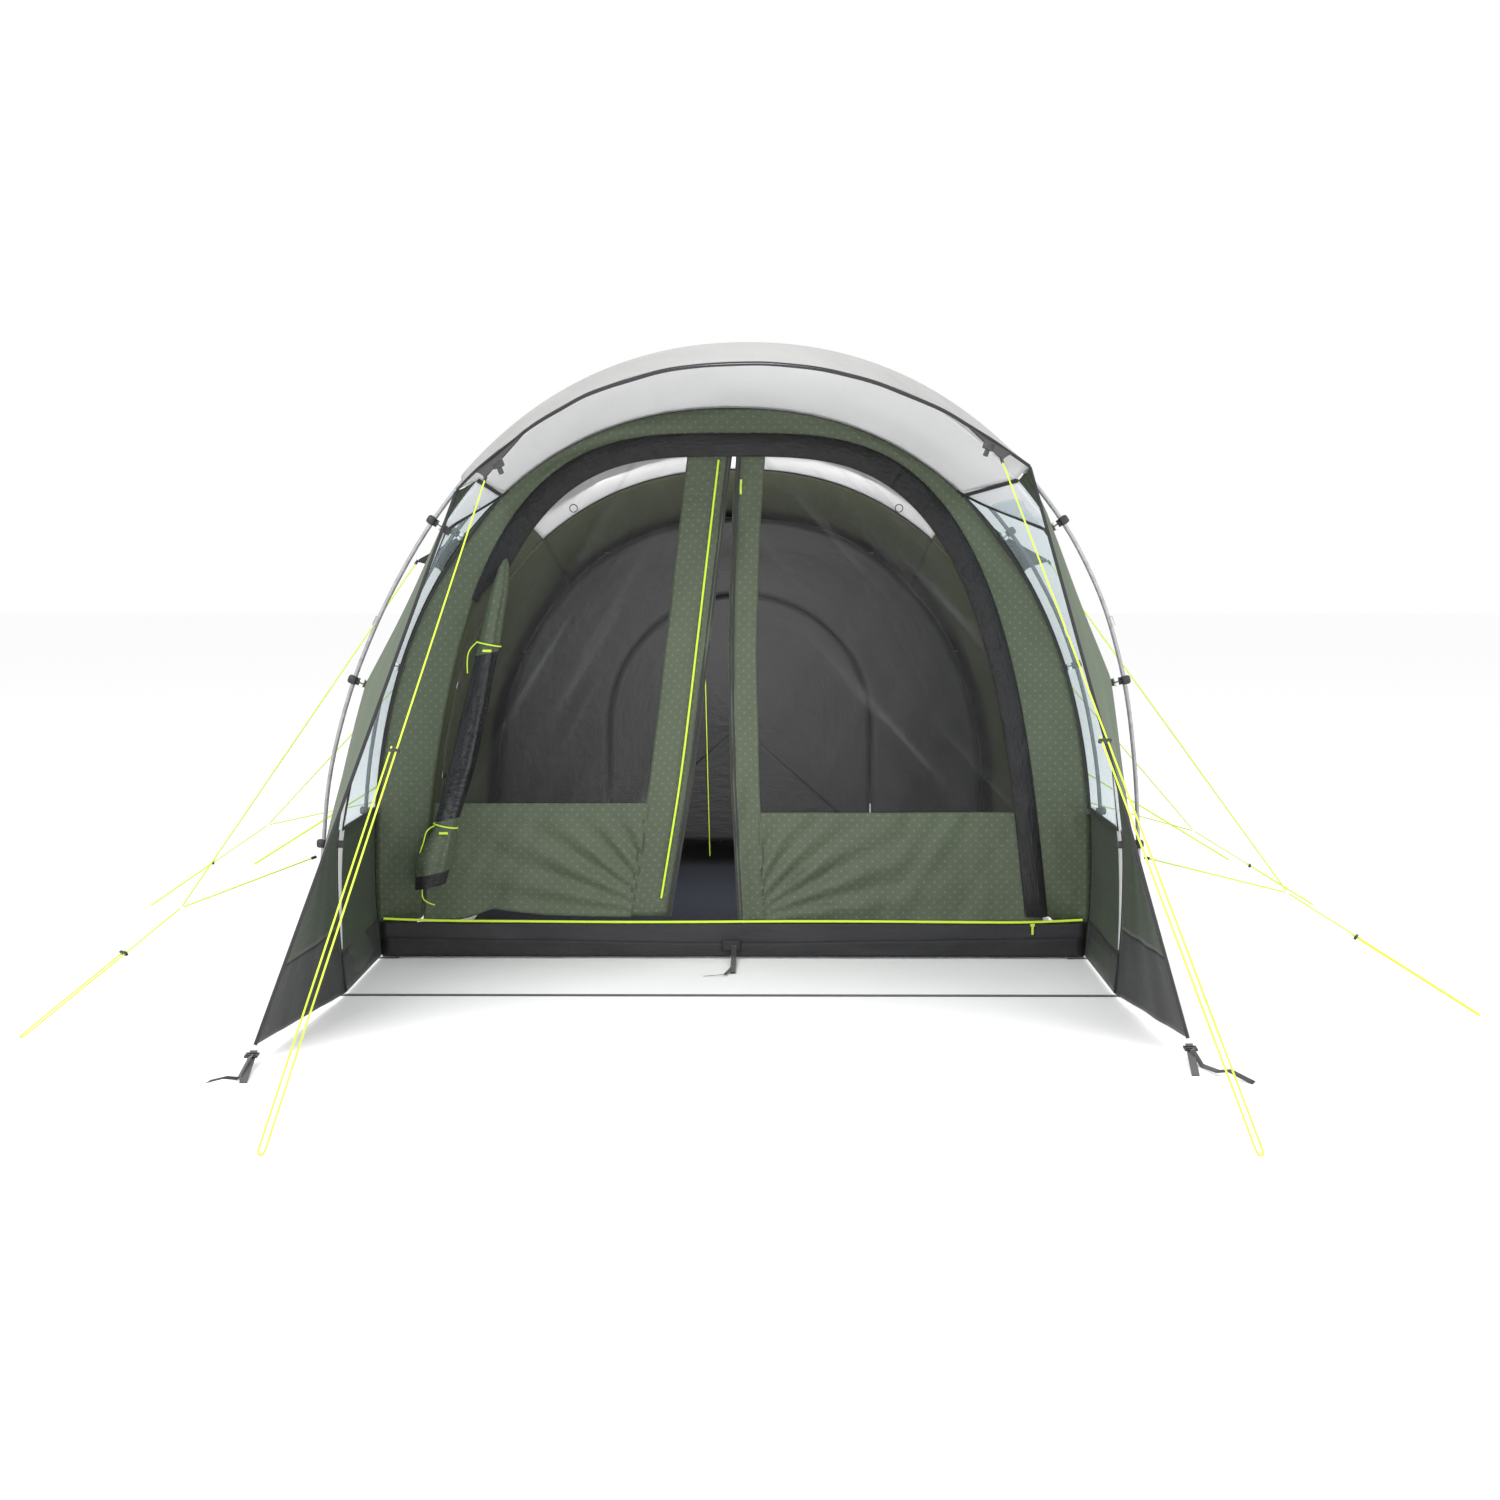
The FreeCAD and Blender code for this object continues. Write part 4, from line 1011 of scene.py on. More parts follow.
@dataclass
class FrontWall:
    """The wall round the doorway, its sill, piping and storm flap."""

    y: float = Y_B
    sill_top: float = 0.120
    flap_start: float = 0.165

    def build(self) -> None:
        """Make the wall and what is sewn to it."""
        self.wall()
        self.sill()
        self.storm_flap()
        LOG.info("front wall done")

    def wall(self) -> None:
        """The green wall between the tunnel's outline and the doorway."""
        widest = SKIN_B.angle_at(self.sill_top)

        def place(u: float, w: float) -> Vector:
            """Point on the wall, from the outer seam in to the doorway."""
            outer = SKIN_B.point(widest * (2.0 * u - 1.0), -0.004)
            x, z = DOOR.both(u)
            p = outer.lerp(Vector((x, self.y, z)), w)
            bow = math.sin(math.pi * w)
            p.y = self.y + 0.001 + ripple(u * 16.0, w * 1.4, 2.0, 0.006) * bow
            return p

        def spot(u: float, w: float) -> Vector:
            """Pattern coordinates that follow the wall's plane."""
            p = place(u, w)
            return Vector((p.x, p.z, 0))

        piece = grid_cloth("front_wall_cloth", 160, 12, place, 0.0012, spot)
        dress(piece, Finish.GREEN, "green_cloth", TENT, ["front_wall"])
        declare_cloth(piece)

    def sill(self) -> None:
        """The black sill, the lime piping on it and the pull-out strap at its middle."""
        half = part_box("door_sill")[1][0]

        def place(u: float, w: float) -> Vector:
            """Point on the sill, which waves a little at its foot."""
            x = mix(-half, half, u)
            wave = ripple(x * 2.4, 0.0, 8.0, 0.010) * (1.0 - w)
            return Vector((x, self.y - 0.004 * (1 - w) + ripple(x * 5.0, w, 3.0, 0.008) * (1 - w * w),
                           mix(0.008 + abs(wave) * 0.6, self.sill_top, w)))

        piece = grid_cloth("door_sill_cloth", 120, 10, place)
        dress(piece, Finish.SILL, "black_cloth", TENT, ["door_sill"])
        declare_cloth(piece)
        self.sill_details(half)
        top = [Vector((x, self.y - 0.006, self.sill_top + 0.003 + 0.002 * math.sin(x * 5) + 0.008 * (abs(x) > 1.1)))
               for x in (-1.15, -1.0, -0.7, -0.4, -0.1, 0.2, 0.5, 0.8, 1.0, 1.15)]
        dress(line_piece("sill_piping", top, 0.0042), Finish.LIME, "lime_cord")

    def sill_details(self, half: float) -> None:
        """The darker hem of the sill and the pull-out strap at its middle."""
        def hem(u: float, w: float) -> Vector:
            """Point on the hem, a little lower in the middle."""
            x = mix(-half + 0.004, half - 0.004, u)
            top = 0.052 + 0.016 * abs(x)
            return Vector((x, self.y - 0.009 + ripple(x * 6.0, w, 5.0, 0.004), mix(0.007, top, w)))

        dress(grid_cloth("door_sill_hem", 90, 6, hem), Finish.SILL_FOOT, "black_cloth")
        patch = grid_cloth("sill_patch", 8, 6, lambda u, w: Vector((mix(-0.036, 0.027, u), self.y - 0.014,
                                                                    mix(0.026, 0.062, w))), 0.003)
        dress(patch, Finish.PATCH, "black_cloth")
        start = Vector((0.004, self.y - 0.017, 0.045))
        strap = [start, start + Vector((0, -0.03, -0.03)), Vector((0.004, self.y - 0.16, 0.006)),
                 Vector((0.004, self.y - 0.264, 0.003))]
        tail = [strap[2], Vector((-0.020, self.y - 0.300, 0.006)), Vector((-0.083, self.y - 0.312, 0.003))]
        for name, route, width in (("sill_strap", strap, 0.018), ("sill_strap_tail", tail, 0.011)):
            piece = strap_piece(name, route, Vector((1, 0.3, 0)), width, 0.0015)
            dress(piece, Finish.WEBBING, "webbing")
            declare_cloth(piece)

    def storm_flap(self) -> None:
        """The gathered black flap round the arch."""
        def place(u: float, w: float) -> Vector:
            """Point on the flap, folded over its free edge; it starts where the rolled door ends."""
            u = mix(self.flap_start, 1.0, u)
            narrow = DOOR.band * (0.25 + 0.75 * ease((u - self.flap_start) / 0.06))
            outer, inner = DOOR.both(u, -0.004), DOOR.both(u, narrow)
            x, z = mix(outer[0], inner[0], w), mix(outer[1], inner[1], w)
            swell = math.sin(math.pi * min(w * 1.05, 1.0)) ** 0.6
            gather = ripple(u * 44.0, w * 1.3, 1.0, 0.0065) + ripple(u * 120.0, w * 0.7, 6.0, 0.003)
            return Vector((x, self.y - 0.004 - 0.012 * swell - gather * swell, z))

        piece = grid_cloth("storm_flap_cloth", 420, 12, place, 0.0015)
        dress(piece, Finish.BLACK, "black_cloth", TENT, ["storm_flap"])
        declare_cloth(piece)


class Hand(Enum):
    """Which of the two mesh doors."""

    LEFT = -1
    RIGHT = 1


@dataclass
class MeshDoor:
    """One of the two mesh doors: mesh, middle strip, skirt and zip."""

    hand: Hand
    free_edge: Tuple[Tuple[float, float], ...]
    strip: float
    skirt_top: float
    foot: float
    y: float = Y_B + 0.008
    gap: float = 0.014

    @property
    def body(self) -> str:
        """Body that the door rides on."""
        return "mesh_door_" + self.hand.name.lower()

    def free(self, z: float) -> float:
        """Free edge at a height."""
        return table(self.free_edge, z)

    def jamb(self, turn: float) -> Tuple[float, float]:
        """Jamb edge, signed by side."""
        x, z = DOOR.at(turn, self.gap)
        return self.hand.value * x, z

    def hem(self, x: float) -> float:
        """Height of the door's foot; the left one hangs loose and uneven."""
        if self.hand is Hand.RIGHT:
            return self.foot
        heights = ((-1.00, 0.122), (-0.93, 0.122), (-0.87, 0.134), (-0.79, 0.163), (-0.62, 0.142), (-0.20, 0.134))
        return table(heights, x)

    def bend(self, x: float, z: float) -> float:
        """How far the door's cloth stands out of its plane."""
        share = abs(x) / 1.0
        lean = ripple(x * 1.8 + z * 1.1, z * 0.9, 5.0 + self.hand.value, 0.018)
        lean += ripple((x * 0.87 - z * 0.5) * 16.0, (x * 0.5 + z * 0.87) * 1.2, 3.0, 0.007)
        return lean * min(1.0, 4.0 * (1.0 - share)) * min(1.0, (1.75 - z) * 3.0)

    def build(self) -> None:
        """Make the door's pieces."""
        side = self.hand.value
        start = math.degrees(math.asin(((self.skirt_top - DOOR.foot) / (DOOR.rise - self.gap)) ** (DOOR.power / 2)))

        def mesh(u: float, w: float) -> Vector:
            """Point on the mesh, from the jamb in to the strip."""
            x, z = self.jamb(mix(start, 89.2, w))
            edge = self.free(z) + side * self.strip
            if side * (x - edge) < 0.004:
                x = edge + side * 0.004
            return Vector((mix(x, edge, u), self.y + self.bend(mix(x, edge, u), z), z))

        def flat(u: float, w: float) -> Vector:
            """Pattern coordinates in the mesh's plane."""
            p = mesh(u, w)
            return Vector((p.x, p.z, 0))

        panel = grid_cloth(self.body + "_mesh", 90, 90, mesh, 0.0, flat)
        finish = Finish.MESH if self.hand is Hand.LEFT else Finish.MESH_RIGHT
        dress(panel, finish, "mesh", self.body, [self.body])
        declare_cloth(panel)

        def strip(u: float, w: float) -> Vector:
            """Point on the middle strip."""
            z = mix(self.foot, DOOR.foot + DOOR.rise - self.gap - 0.004, w)
            x = self.free(z) + side * self.strip * u
            return Vector((x, self.y - 0.002 + self.bend(x, z) + ripple(u * 2.4, z * 2.2, 9.0 * side, 0.006), z))

        band = grid_cloth(self.body + "_strip", 14, 90, strip)
        dress(band, Finish.GREEN, "green_cloth", self.body)
        declare_cloth(band)

        def skirt(u: float, w: float) -> Vector:
            """Point on the skirt, pulled in folds from its lower inner corner."""
            z = mix(self.foot, self.skirt_top + 0.006, w)
            jamb = side * (DOOR.half_at(max(z, DOOR.foot), self.gap) + 0.004)
            x = mix(jamb, self.free(z) + side * self.strip * 0.9, u)
            z = mix(self.hem(x), self.skirt_top + 0.006, w)
            corner = Vector((self.free(self.foot), self.foot))
            away = Vector((x, z)) - corner
            fan = math.atan2(away.y, abs(away.x) + 1e-6)
            fold = 0.010 * math.sin(fan * 26.0 + side) * math.exp(-((away.length - 0.32) / 0.26) ** 2)
            fold += ripple(x * 9.0, z * 2.0, 5.0, 0.012) * (1.0 - w)
            return Vector((x, self.y - 0.003 + self.bend(x, z) + fold * math.sin(math.pi * min(w + 0.08, 1.0)), z))

        def spot(u: float, w: float) -> Vector:
            """Pattern coordinates in the skirt's plane."""
            p = skirt(u, w)
            return Vector((p.x, p.z, 0))

        apron = grid_cloth(self.body + "_skirt", 100, 40, skirt, 0.0012, spot)
        dress(apron, Finish.GREEN, "green_cloth", self.body)
        declare_cloth(apron)
        self.zip()

    def zip(self) -> None:
        """The zip along the free edge, and the lime piping beside it on the left door."""
        side = self.hand.value
        heights = (self.foot, 0.35, 0.60, 0.90, 1.20, 1.50, 1.66)
        for step, inset in enumerate((0.003, 0.014)):
            route = [Vector((self.free(z) + side * inset, self.y - 0.006 + self.bend(self.free(z), z), z))
                     for z in heights]
            dress(line_piece("%s_zip_%d" % (self.body, step), route, 0.0034), Finish.ZIP, "mesh", self.body)
        if self.hand is Hand.LEFT:
            route = [Vector((self.free(z) - 0.042, self.y - 0.010 + self.bend(self.free(z), z), z))
                     for z in (0.20, 0.35, 0.60, 0.90, 1.20, 1.45, 1.63)]
            dress(line_piece("mesh_door_left_piping", route, 0.0038), Finish.LIME, "lime_cord", self.body)


@dataclass
class RolledDoor:
    """The outer door rolled against the left jamb, and the ties that hold it."""

    y: float = Y_B - 0.076
    route: Tuple[Tuple[float, float, float], ...] = (
        (-0.728, 1.310, 0.014), (-0.750, 1.200, 0.030), (-0.783, 1.038, 0.036), (-0.822, 0.860, 0.040),
        (-0.868, 0.650, 0.044), (-0.930, 0.450, 0.036), (-0.972, 0.340, 0.062), (-0.985, 0.250, 0.050))

    def centre(self, w: float) -> Tuple[float, float, float]:
        """Axis place and radius from the top (0) to the foot (1)."""
        spot = w * (len(self.route) - 1)
        i = min(int(spot), len(self.route) - 2)
        a, b = self.route[i], self.route[i + 1]
        return tuple(mix(p, q, spot - i) for p, q in zip(a, b))

    def build(self) -> None:
        """Make the roll in its four stretches."""
        stretches = (("top", 0.0, 0.31, Finish.GREEN, "green_cloth"),
                     ("foil", 0.31, 0.70, Finish.ROLL_FOIL, "black_cloth"),
                     ("foot", 0.70, 0.93, Finish.GREEN, "green_cloth"),
                     ("end", 0.93, 1.0, Finish.BLACK, "black_cloth"))
        for word, start, end, finish, slot in stretches:
            def place(u: float, w: float) -> Vector:
                """Point on the roll's outside."""
                x, z, r = self.centre(mix(start, end, w))
                turn = 2.0 * math.pi * u
                tuck = 1.0 - 0.55 * (max(0.0, 1.0 - w * (end - start) / 0.03) if start == 0.0 else 0.0)
                pinch = 1.0 + 0.12 * noise.noise(Vector((math.cos(turn) * 1.6, math.sin(turn) * 1.6, z * 5.0)))
                pinch += 0.07 * math.sin(turn * 3.0 + z * 6.0) + 0.03 * math.sin(turn * 7.0 + z * 3.0)
                return Vector((x + r * pinch * tuck * math.cos(turn), self.y + 0.9 * r * pinch * tuck * math.sin(turn),
                               z + 0.2 * r * math.cos(turn)))

            piece = grid_cloth("rolled_door_" + word, 64, 60, place, 0.0, None, True)
            dress(piece, finish, slot, TENT, ["rolled_outer_door"] if word == "top" else [])
        self.tails()
        LOG.info("rolled door done")

    def tails(self) -> None:
        """The loose ends of the two ties, and the zip pull at the foot."""
        y, radius = self.y - 0.020, 0.0019
        routes = (("upper", ((-0.816, 1.046), (-0.842, 1.028), (-0.853, 0.985), (-0.850, 0.945))),
                  ("lower", ((-0.962, 0.452), (-0.990, 0.440), (-0.998, 0.400), (-1.012, 0.362))),
                  ("foot", ((-1.003, 0.262), (-1.010, 0.225), (-0.995, 0.200), (-0.965, 0.192))))
        for word, route in routes:
            points = [Vector((x, y, z)) for x, z in route]
            cord = line_piece("roll_tail_" + word, points, radius)
            dress(cord, Finish.LIME, "lime_cord")


# ------------------------------------------------------------------ bedroom

@dataclass
class Bedroom:
    """The dark inner tent, its door and the groundsheet."""

    def build(self) -> None:
        """Make the bedroom's cloth."""
        front = Arch(Y_INNER, 1.040, 0.300, 1.205, 2.2, 1.030)
        rear = Arch(Y_D + 0.020, 0.990, 0.260, 1.130, 2.2, 0.980)
        end = Arch(Y_E - 0.250, 0.780, 0.040, 0.190, 2.6, 0.775)

        def shell(u: float, w: float) -> Vector:
            """Point on the bedroom's shell."""
            angle = mix(-118.0, 118.0, u)
            split = 0.45
            a, b, share = (front, rear, w / split) if w < split else (rear, end, (w - split) / (1 - split))
            p = a.point(angle, -0.002).lerp(b.point(angle, -0.002), share)
            return p - a.outward(angle) * (0.02 * math.sin(math.pi * share) + ripple(angle * 0.08, w * 5, 0, 0.008))

        piece = grid_cloth("inner_shell_cloth", 90, 40, shell)
        dress(piece, Finish.INNER, "inner_cloth", TENT, ["inner_shell"])
        declare_cloth(piece)
        self.front_wall(front)
        low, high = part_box("groundsheet")
        narrows, rear_half = Y_D + 0.400, 0.820

        def floor(u: float, w: float) -> Vector:
            """Point on the groundsheet."""
            y = mix(low[1], high[1], w)
            taper = max(0.0, (y - narrows) / (high[1] - narrows))
            x = mix(high[0], rear_half, taper) * (2.0 * u - 1.0)
            return Vector((x, y, 0.0022 + abs(ripple(x * 3, y * 3, 0, 0.002))))

        sheet = grid_cloth("groundsheet_cloth", 40, 60, floor)
        dress(sheet, Finish.FLOOR, "floor_cloth", TENT, ["groundsheet"])
        declare_cloth(sheet)
        y = Y_INNER - 0.010
        pull = [Vector((-0.148, y, 0.912)), Vector((-0.139, y - 0.004, 0.50)), Vector((-0.128, y, 0.060))]
        radius = 0.0022
        cord = line_piece("bedroom_door_pull", pull, radius)
        dress(cord, Finish.LIME, "lime_cord", "bedroom_door")
        LOG.info("bedroom done")

    def front_wall(self, front: Arch) -> None:
        """The bedroom's front with its round-topped door."""
        half, foot, spring = 0.560, 0.120, 0.620

        def edge(u: float, inset: float) -> Vector:
            """Door outline from the left foot over the top to the right foot."""
            h = half - inset
            if u < 0.2:
                return Vector((-h, Y_INNER, mix(foot + inset, spring, u / 0.2)))
            if u > 0.8:
                return Vector((h, Y_INNER, mix(spring, foot + inset, (u - 0.8) / 0.2)))
            turn = math.pi * (1.0 - (u - 0.2) / 0.6)
            return Vector((h * math.cos(turn), Y_INNER, spring + h * math.sin(turn)))

        def wall(u: float, w: float) -> Vector:
            """Point on the wall round the door."""
            outer = front.point(mix(-114.0, 114.0, u), -0.006)
            p = outer.lerp(edge(u, 0.0), w)
            p.y = Y_INNER + 0.001 + ripple(u * 12, w * 2, 0, 0.012) * math.sin(math.pi * w)
            return p

        piece = grid_cloth("inner_front_cloth", 120, 14, wall)
        dress(piece, Finish.INNER, "inner_cloth", TENT, ["inner_front"])
        declare_cloth(piece)

        def door(u: float, w: float) -> Vector:
            """Point on the door, from its outline in to its middle."""
            p = edge(u, 0.003).lerp(Vector((0.0, Y_INNER, 0.62)), w * 0.985)
            p.y = Y_INNER + 0.001 + ripple(p.x * 3, p.z * 2, 7, 0.02) * w
            return p

        leaf = grid_cloth("inner_door_cloth", 90, 24, door)
        dress(leaf, Finish.INNER, "inner_cloth", "bedroom_door", ["inner_door"])
        foot_points = [edge(0.0, 0.003), edge(1.0, 0.003)]

        def lower(u: float, w: float) -> Vector:
            """Point on the door's lower part."""
            bottom = foot_points[0].lerp(foot_points[1], u)
            p = bottom.lerp(Vector((0.0, Y_INNER, 0.62)), w * 0.985)
            p.y = Y_INNER + 0.001 + ripple(p.x * 3, p.z * 2, 7, 0.02) * w
            return p

        base = grid_cloth("inner_door_foot_cloth", 40, 24, lower)
        dress(base, Finish.INNER, "inner_cloth", "bedroom_door")
        for spare in (leaf, base):
            declare_cloth(spare)


# ------------------------------------------------------------------ guy lines

@dataclass
class GuyLines:
    """The taut lime lines and their V legs, each line led back up to the runner on it."""

    radius: float = 0.00225
    leg: float = 0.016
    knot: float = 0.007
    start_gap: float = 0.016
    anchors: Tuple[Tuple[str, Tuple[float, float, float]], ...] = (
        ("upper_b", (1.022, 0.590, 1.306)), ("lower_a", (1.237, 0.0, 0.420)),
        ("upper_c", (0.925, 1.870, 1.262)), ("lower_c", (1.206, 1.870, 0.420)), ("upper_d", (1.072, 3.200, 0.668)))
    rings: Tuple[Tuple[str, Tuple[float, float, float]], ...] = (
        ("1_left", (-1.573, -0.248, 0.306)), ("2_left", (-1.801, 1.689, 0.304)),
        ("1_right", (1.649, -0.068, 0.324)), ("2_right", (1.761, 1.742, 0.277)))
    pegs: Tuple[Tuple[str, Tuple[float, float, float]], ...] = (
        ("front_left", (-0.981, -1.684, 0.012)), ("1_left", (-1.906, -0.591, 0.012)),
        ("2_left", (-2.220, 1.585, 0.012)), ("3_left", (-2.102, 2.680, 0.012)),
        ("front_right", (1.185, -1.670, 0.012)), ("1_right", (2.141, -0.280, 0.012)),
        ("2_right", (2.192, 1.655, 0.012)), ("3_right", (2.152, 2.849, 0.012)))
    shares: Tuple[Tuple[str, float], ...] = (("front", 0.47), ("1", 0.37), ("2", 0.48), ("3", 0.42))

    def anchor(self, name: str, side: float) -> Vector:
        """An anchor on the tent; all but the front ones are mirrored for the left side."""
        if name == "front":
            return FRONT_ANCHORS[side].copy()
        x, y, z = dict(self.anchors)[name]
        return Vector((side * x, y + Y_A, z))

    @staticmethod
    def spot(table_of: Sequence[Tuple[str, Tuple[float, float, float]]], name: str) -> Vector:
        """A knot or a peg by its name."""
        x, y, z = dict(table_of)[name]
        return Vector((x, y + Y_A, z))

    def build(self) -> None:
        """Make every line."""
        starts = {"front": "front", "3": "upper_d"}
        for word, side in SIDES:
            for name, share in self.shares:
                peg = self.spot(self.pegs, "%s_%s" % (name, word))
                knotted = name in "12"
                start = self.spot(self.rings, "%s_%s" % (name, word)) if knotted else self.anchor(starts[name], side)
                self.line("%s_%s" % (name, word), start, peg, share, knotted)
            for number, tops in (("1", ("upper_b", "lower_a")), ("2", ("upper_c", "lower_c"))):
                ring = self.spot(self.rings, "%s_%s" % (number, word))
                for step, top in enumerate(tops):
                    self.bridle("guy_v_%s_%s" % (number, word), step, self.anchor(top, side), ring)
        LOG.info("guy lines done")

    def line(self, name: str, start: Vector, peg: Vector, share: float, knotted: bool) -> None:
        """One line down to its peg, round it and back up to its runner."""
        away = (peg - start).normalized()
        aside = away.cross(Vector((0, 0, 1))).normalized() * self.leg
        first = start + away * (self.knot * 0.6 if knotted else self.start_gap)
        back = start + (peg - start) * share - away * 0.014 + aside
        turn = away * 0.008
        near = away * 0.030
        points = [first, first.lerp(peg, 0.5), peg - near, peg + turn * 0.6, peg + aside * 0.5 + turn * 1.25,
                  peg + aside + turn * 0.6, peg + aside - near, (peg + aside).lerp(back, 0.5), back]
        cord = line_piece("guy_cord_" + name, points, self.radius)
        dress(cord, Finish.LIME, "lime_cord", TENT, ["guy_line_" + name])

    def bridle(self, node: str, step: int, anchor: Vector, ring: Vector) -> None:
        """One leg of a V from its eyelet to the knot."""
        away = (ring - anchor).normalized()
        first, last = anchor + away * self.start_gap, ring - away * (self.knot + 0.0003)
        cord = line_piece("%s_leg_%d" % (node, step), [first, first.lerp(last, 0.5), last], self.radius)
        dress(cord, Finish.LIME, "lime_cord", TENT, [node] if step == 0 else [])
        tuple(first)


# ------------------------------------------------------------------ frame parts kept from the CAD

@dataclass
class FrameParts:
    """Poles, clips, rings and the other hard parts, which keep their shape and get their finish."""

    finishes: Tuple[Tuple[str, Finish], ...] = (
        ("pole_a", Finish.POLE), ("pole_b", Finish.POLE_DARK), ("pole_c", Finish.POLE), ("pole_d", Finish.POLE),
        ("pole_ferrules", Finish.STEEL), ("foot_rings", Finish.STEEL), ("pole_clips", Finish.BLACK_PLASTIC),
        ("hanger_toggles", Finish.BLACK_PLASTIC), ("corner_adjusters", Finish.BLACK_PLASTIC),
        ("guy_eyelets", Finish.BLACK_PLASTIC), ("roll_ties", Finish.LIME), ("base_straps", Finish.WEBBING),
        ("corner_webbing", Finish.WEBBING), ("door_zip_slider", Finish.LIME_PLASTIC),
        ("sill_zip_slider", Finish.LIME_PLASTIC))

    def build(self) -> None:
        """Put each finish on its node."""
        names = dict(self.finishes)
        for node in bpy.data.objects:
            finish = names.get(node.name)
            if node.name.startswith("runner_"):
                finish = Finish.BLACK_PLASTIC
            if finish is not None:
                node.data.materials.clear()
                node.data.materials.append(finish.material)
        LOG.info("frame parts dressed")


@dataclass
class Hardware:
    """White and black mouldings on the clip tabs, buckles on the visor and loose strap ends."""

    heights: Tuple[Tuple[Arch, Arch, Tuple[float, ...]], ...] = (
        (POLE_A, SKIN_A, (1.420, 0.950, 0.460)), (POLE_B, SKIN_B, (1.400, 0.970, 0.490)),
        (POLE_C, SKIN_C, (1.190, 0.840, 0.480)), (POLE_D, SKIN_D, (1.000, 0.590, 0.340)))

    @staticmethod
    def block(bm: bmesh.types.BMesh, centre: Vector, axes: Tuple[Vector, Vector, Vector],
              size: Tuple[float, float, float]) -> None:
        """Add a rounded block to a mesh.

        Args:
            bm: mesh to add to.
            centre: middle of the block.
            axes: its three directions.
            size: its lengths along them.
        """
        made = bmesh.ops.create_cube(bm, size=1.0)
        turn = Matrix([list(axis) for axis in axes]).transposed().to_4x4()
        scale = Matrix.Diagonal((*size, 1.0))
        bmesh.ops.transform(bm, matrix=Matrix.Translation(centre) @ turn @ scale, verts=made["verts"])
        edges = list({edge for vert in made["verts"] for edge in vert.link_edges})
        bmesh.ops.bevel(bm, geom=edges, offset=min(size) * 0.28, segments=2, profile=0.5, affect="EDGES",
                        clamp_overlap=True, material=-1)

    def build(self) -> None:
        """Make the mouldings of both sides and the loose strap ends."""
        for word, side in SIDES:
            self.clip_tabs(word, side)
            self.visor_buckle(word, side)
        tails = (("right", ((1.216, -0.800, 0.030), (1.227, -0.871, 0.004), (1.247, -0.963, 0.012),
                            (1.275, -0.973, 0.016), (1.318, -1.043, 0.003))),
                 ("left", ((-1.214, -0.890, 0.030), (-1.212, -1.020, 0.004), (-1.240, -1.040, 0.012),
                           (-1.281, -1.045, 0.003))))
        for word, route in tails:
            points = [Vector((x, Y_A + y, z)) for x, y, z in route]
            piece = strap_piece("corner_strap_tail_" + word, points, Vector((0.7, 0.5, 0.4)), 0.014, 0.0014)
            dress(piece, Finish.WEBBING, "webbing")
            declare_cloth(piece)
        LOG.info("hardware done")

    def clip_tabs(self, word: str, side: float) -> None:
        """Black tabs with a white slide between each clip and the cloth."""
        black, white = bmesh.new(), bmesh.new()
        for pole, skin, heights in self.heights:
            gap = pole.half - skin.half
            for z in heights:
                angle = side * pole.angle_at(z)
                inward = -pole.outward(angle)
                along = Vector((-inward.z, 0.0, inward.x))
                axes = (inward, Vector((0, 1, 0)), along)
                centre = pole.point(angle)
                self.block(black, centre + inward * (gap * 0.5 + 0.012), axes, (gap + 0.016, 0.007, 0.022))
                self.block(black, centre, axes, (0.028, 0.026, 0.026))
                self.block(white, centre + inward * (0.016 + gap * 0.28), axes, (0.014, 0.015, 0.027))
        for kind, bm, finish in (("tabs", black, Finish.BLACK_PLASTIC), ("slides", white, Finish.WHITE)):
            dress(smooth_piece(bm, "clip_%s_%s" % (kind, word)), finish, "black_plastic")

    def visor_buckle(self, word: str, side: float) -> None:
        """The side-release buckle beside the visor's guy patch."""
        bm = bmesh.new()
        centre = FRONT_ANCHORS[side] + Vector((-side * 0.038, -0.030, 0.034))
        out = Vector((side * 0.9, -0.2, -0.35)).normalized()
        across = Vector((0, 1, 0)).cross(out).normalized()
        axes = (out, across.cross(out).normalized(), across)
        self.block(bm, centre, axes, (0.034, 0.012, 0.022))
        self.block(bm, centre + across * 0.020 * side, axes, (0.014, 0.010, 0.020))
        dress(smooth_piece(bm, "visor_buckle_" + word), Finish.BLACK_PLASTIC, "black_plastic")


# ------------------------------------------------------------------ studio

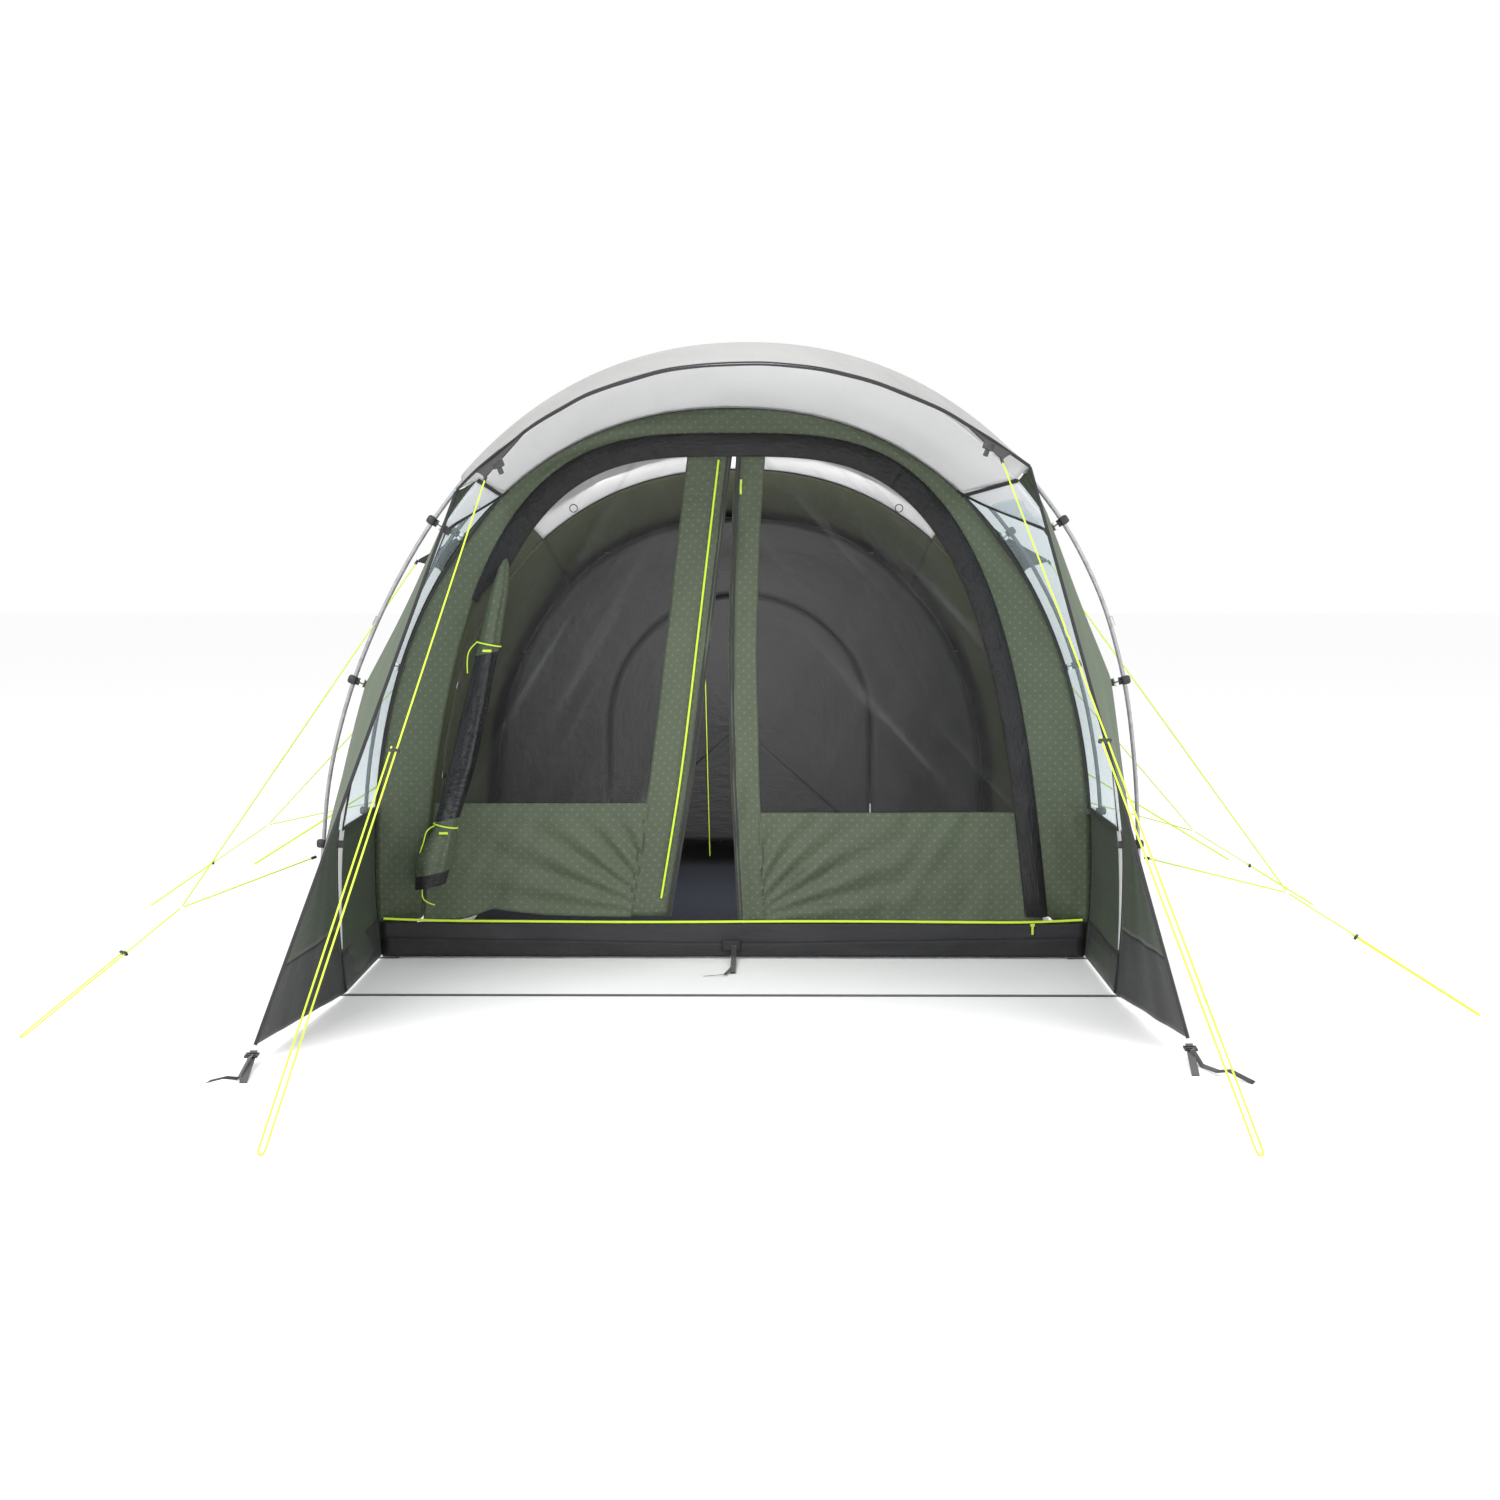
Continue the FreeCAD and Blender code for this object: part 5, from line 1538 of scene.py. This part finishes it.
@dataclass
class Studio:
    """Pale floor, soft lights and the camera."""

    lens: float = 48.0
    eye: Vector = field(default_factory=lambda: Vector((0.099, Y_A - 5.924, 1.256)))
    tilt: float = 4.97
    pan: float = 0.37

    def build(self) -> None:
        """Make the camera, the floor and the lights."""
        scene = bpy.context.scene
        camera = bpy.data.objects.new("camera", bpy.data.cameras.new("camera"))
        camera.data.lens = self.lens
        camera.data.sensor_width = 36.0
        camera.data.clip_end = 200.0
        camera.location = self.eye
        camera.rotation_euler = (math.radians(90.0 - self.tilt), 0.0, math.radians(self.pan))
        scene.collection.objects.link(camera)
        scene.camera = camera
        bm = bmesh.new()
        bmesh.ops.create_grid(bm, x_segments=2, y_segments=2, size=60.0)
        bmesh.ops.translate(bm, verts=bm.verts, vec=(0, 0, -0.0006))
        floor = smooth_piece(bm, "studio_floor")
        material = bpy.data.materials.new("studio_floor")
        material.use_nodes = True
        shader = material.node_tree.nodes["Principled BSDF"]
        shader.inputs["Base Color"].default_value = (0.97, 0.97, 0.97, 1)
        shader.inputs["Roughness"].default_value = 0.9
        floor.data.materials.append(material)
        world = bpy.data.worlds.new("studio")
        scene.world = world
        world.use_nodes = True
        world.node_tree.nodes["Background"].inputs["Color"].default_value = (1.0, 1.0, 1.0, 1)
        world.node_tree.nodes["Background"].inputs["Strength"].default_value = 1.0
        self.softbox("key", (-3.5, Y_A - 5.5, 5.0), 4.0, 320.0)
        self.softbox("fill", (5.0, Y_A - 4.0, 3.6), 4.0, 170.0)
        self.softbox("top", (0.0, 0.5, 6.5), 5.0, 150.0)
        self.softbox("porch", (0.0, Y_A - 1.6, 0.5), 1.6, 22.0, Vector((0.0, Y_A, 1.7)))
        self.softbox("inside", (0.0, Y_C - 0.60, 1.10), 1.0, 22.0, Vector((0.0, Y_INNER, 0.90)))
        self.softbox("ceiling", (0.0, Y_C - 0.55, 0.40), 1.2, 7.0, Vector((0.0, Y_C, 1.70)))
        scene.view_settings.view_transform = "Standard"

    def softbox(self, name: str, spot: Tuple[float, float, float], size: float, power: float,
                target: Vector = Vector((0, 0, 0.8))) -> None:
        """One large area light, hidden from the camera.

        Args:
            name: name of the lamp.
            spot: where it hangs.
            size: side of its square, in metres.
            power: watts.
            target: the point it faces.
        """
        light = bpy.data.lights.new(name, "AREA")
        light.size = size
        light.energy = power
        lamp = bpy.data.objects.new(name, light)
        lamp.location = spot
        lamp.visible_camera = False
        aim = target - Vector(spot)
        lamp.rotation_euler = aim.to_track_quat("-Z", "Y").to_euler()
        bpy.context.scene.collection.objects.link(lamp)


def main() -> None:
    """Build the tent in order."""
    Studio().build()
    GuyLines().build()
    FrameParts().build()
    OuterShell().build()
    VISOR.build()
    Wings().build()
    Trims().build()
    Hardware().build()
    FrontWall().build()
    MeshDoor(Hand.LEFT, ((0.13, -0.205), (0.59, -0.128), (0.98, -0.080), (1.40, -0.030), (1.70, 0.006)),
             0.145, 0.508, 0.140).build()
    MeshDoor(Hand.RIGHT, ((0.12, 0.018), (0.55, -0.005), (1.00, -0.016), (1.40, -0.004), (1.70, 0.016)),
             0.094, 0.478, 0.116).build()
    RolledDoor().build()
    Bedroom().build()
    bpy.context.view_layer.update()


if __name__ == "__main__":
    main()
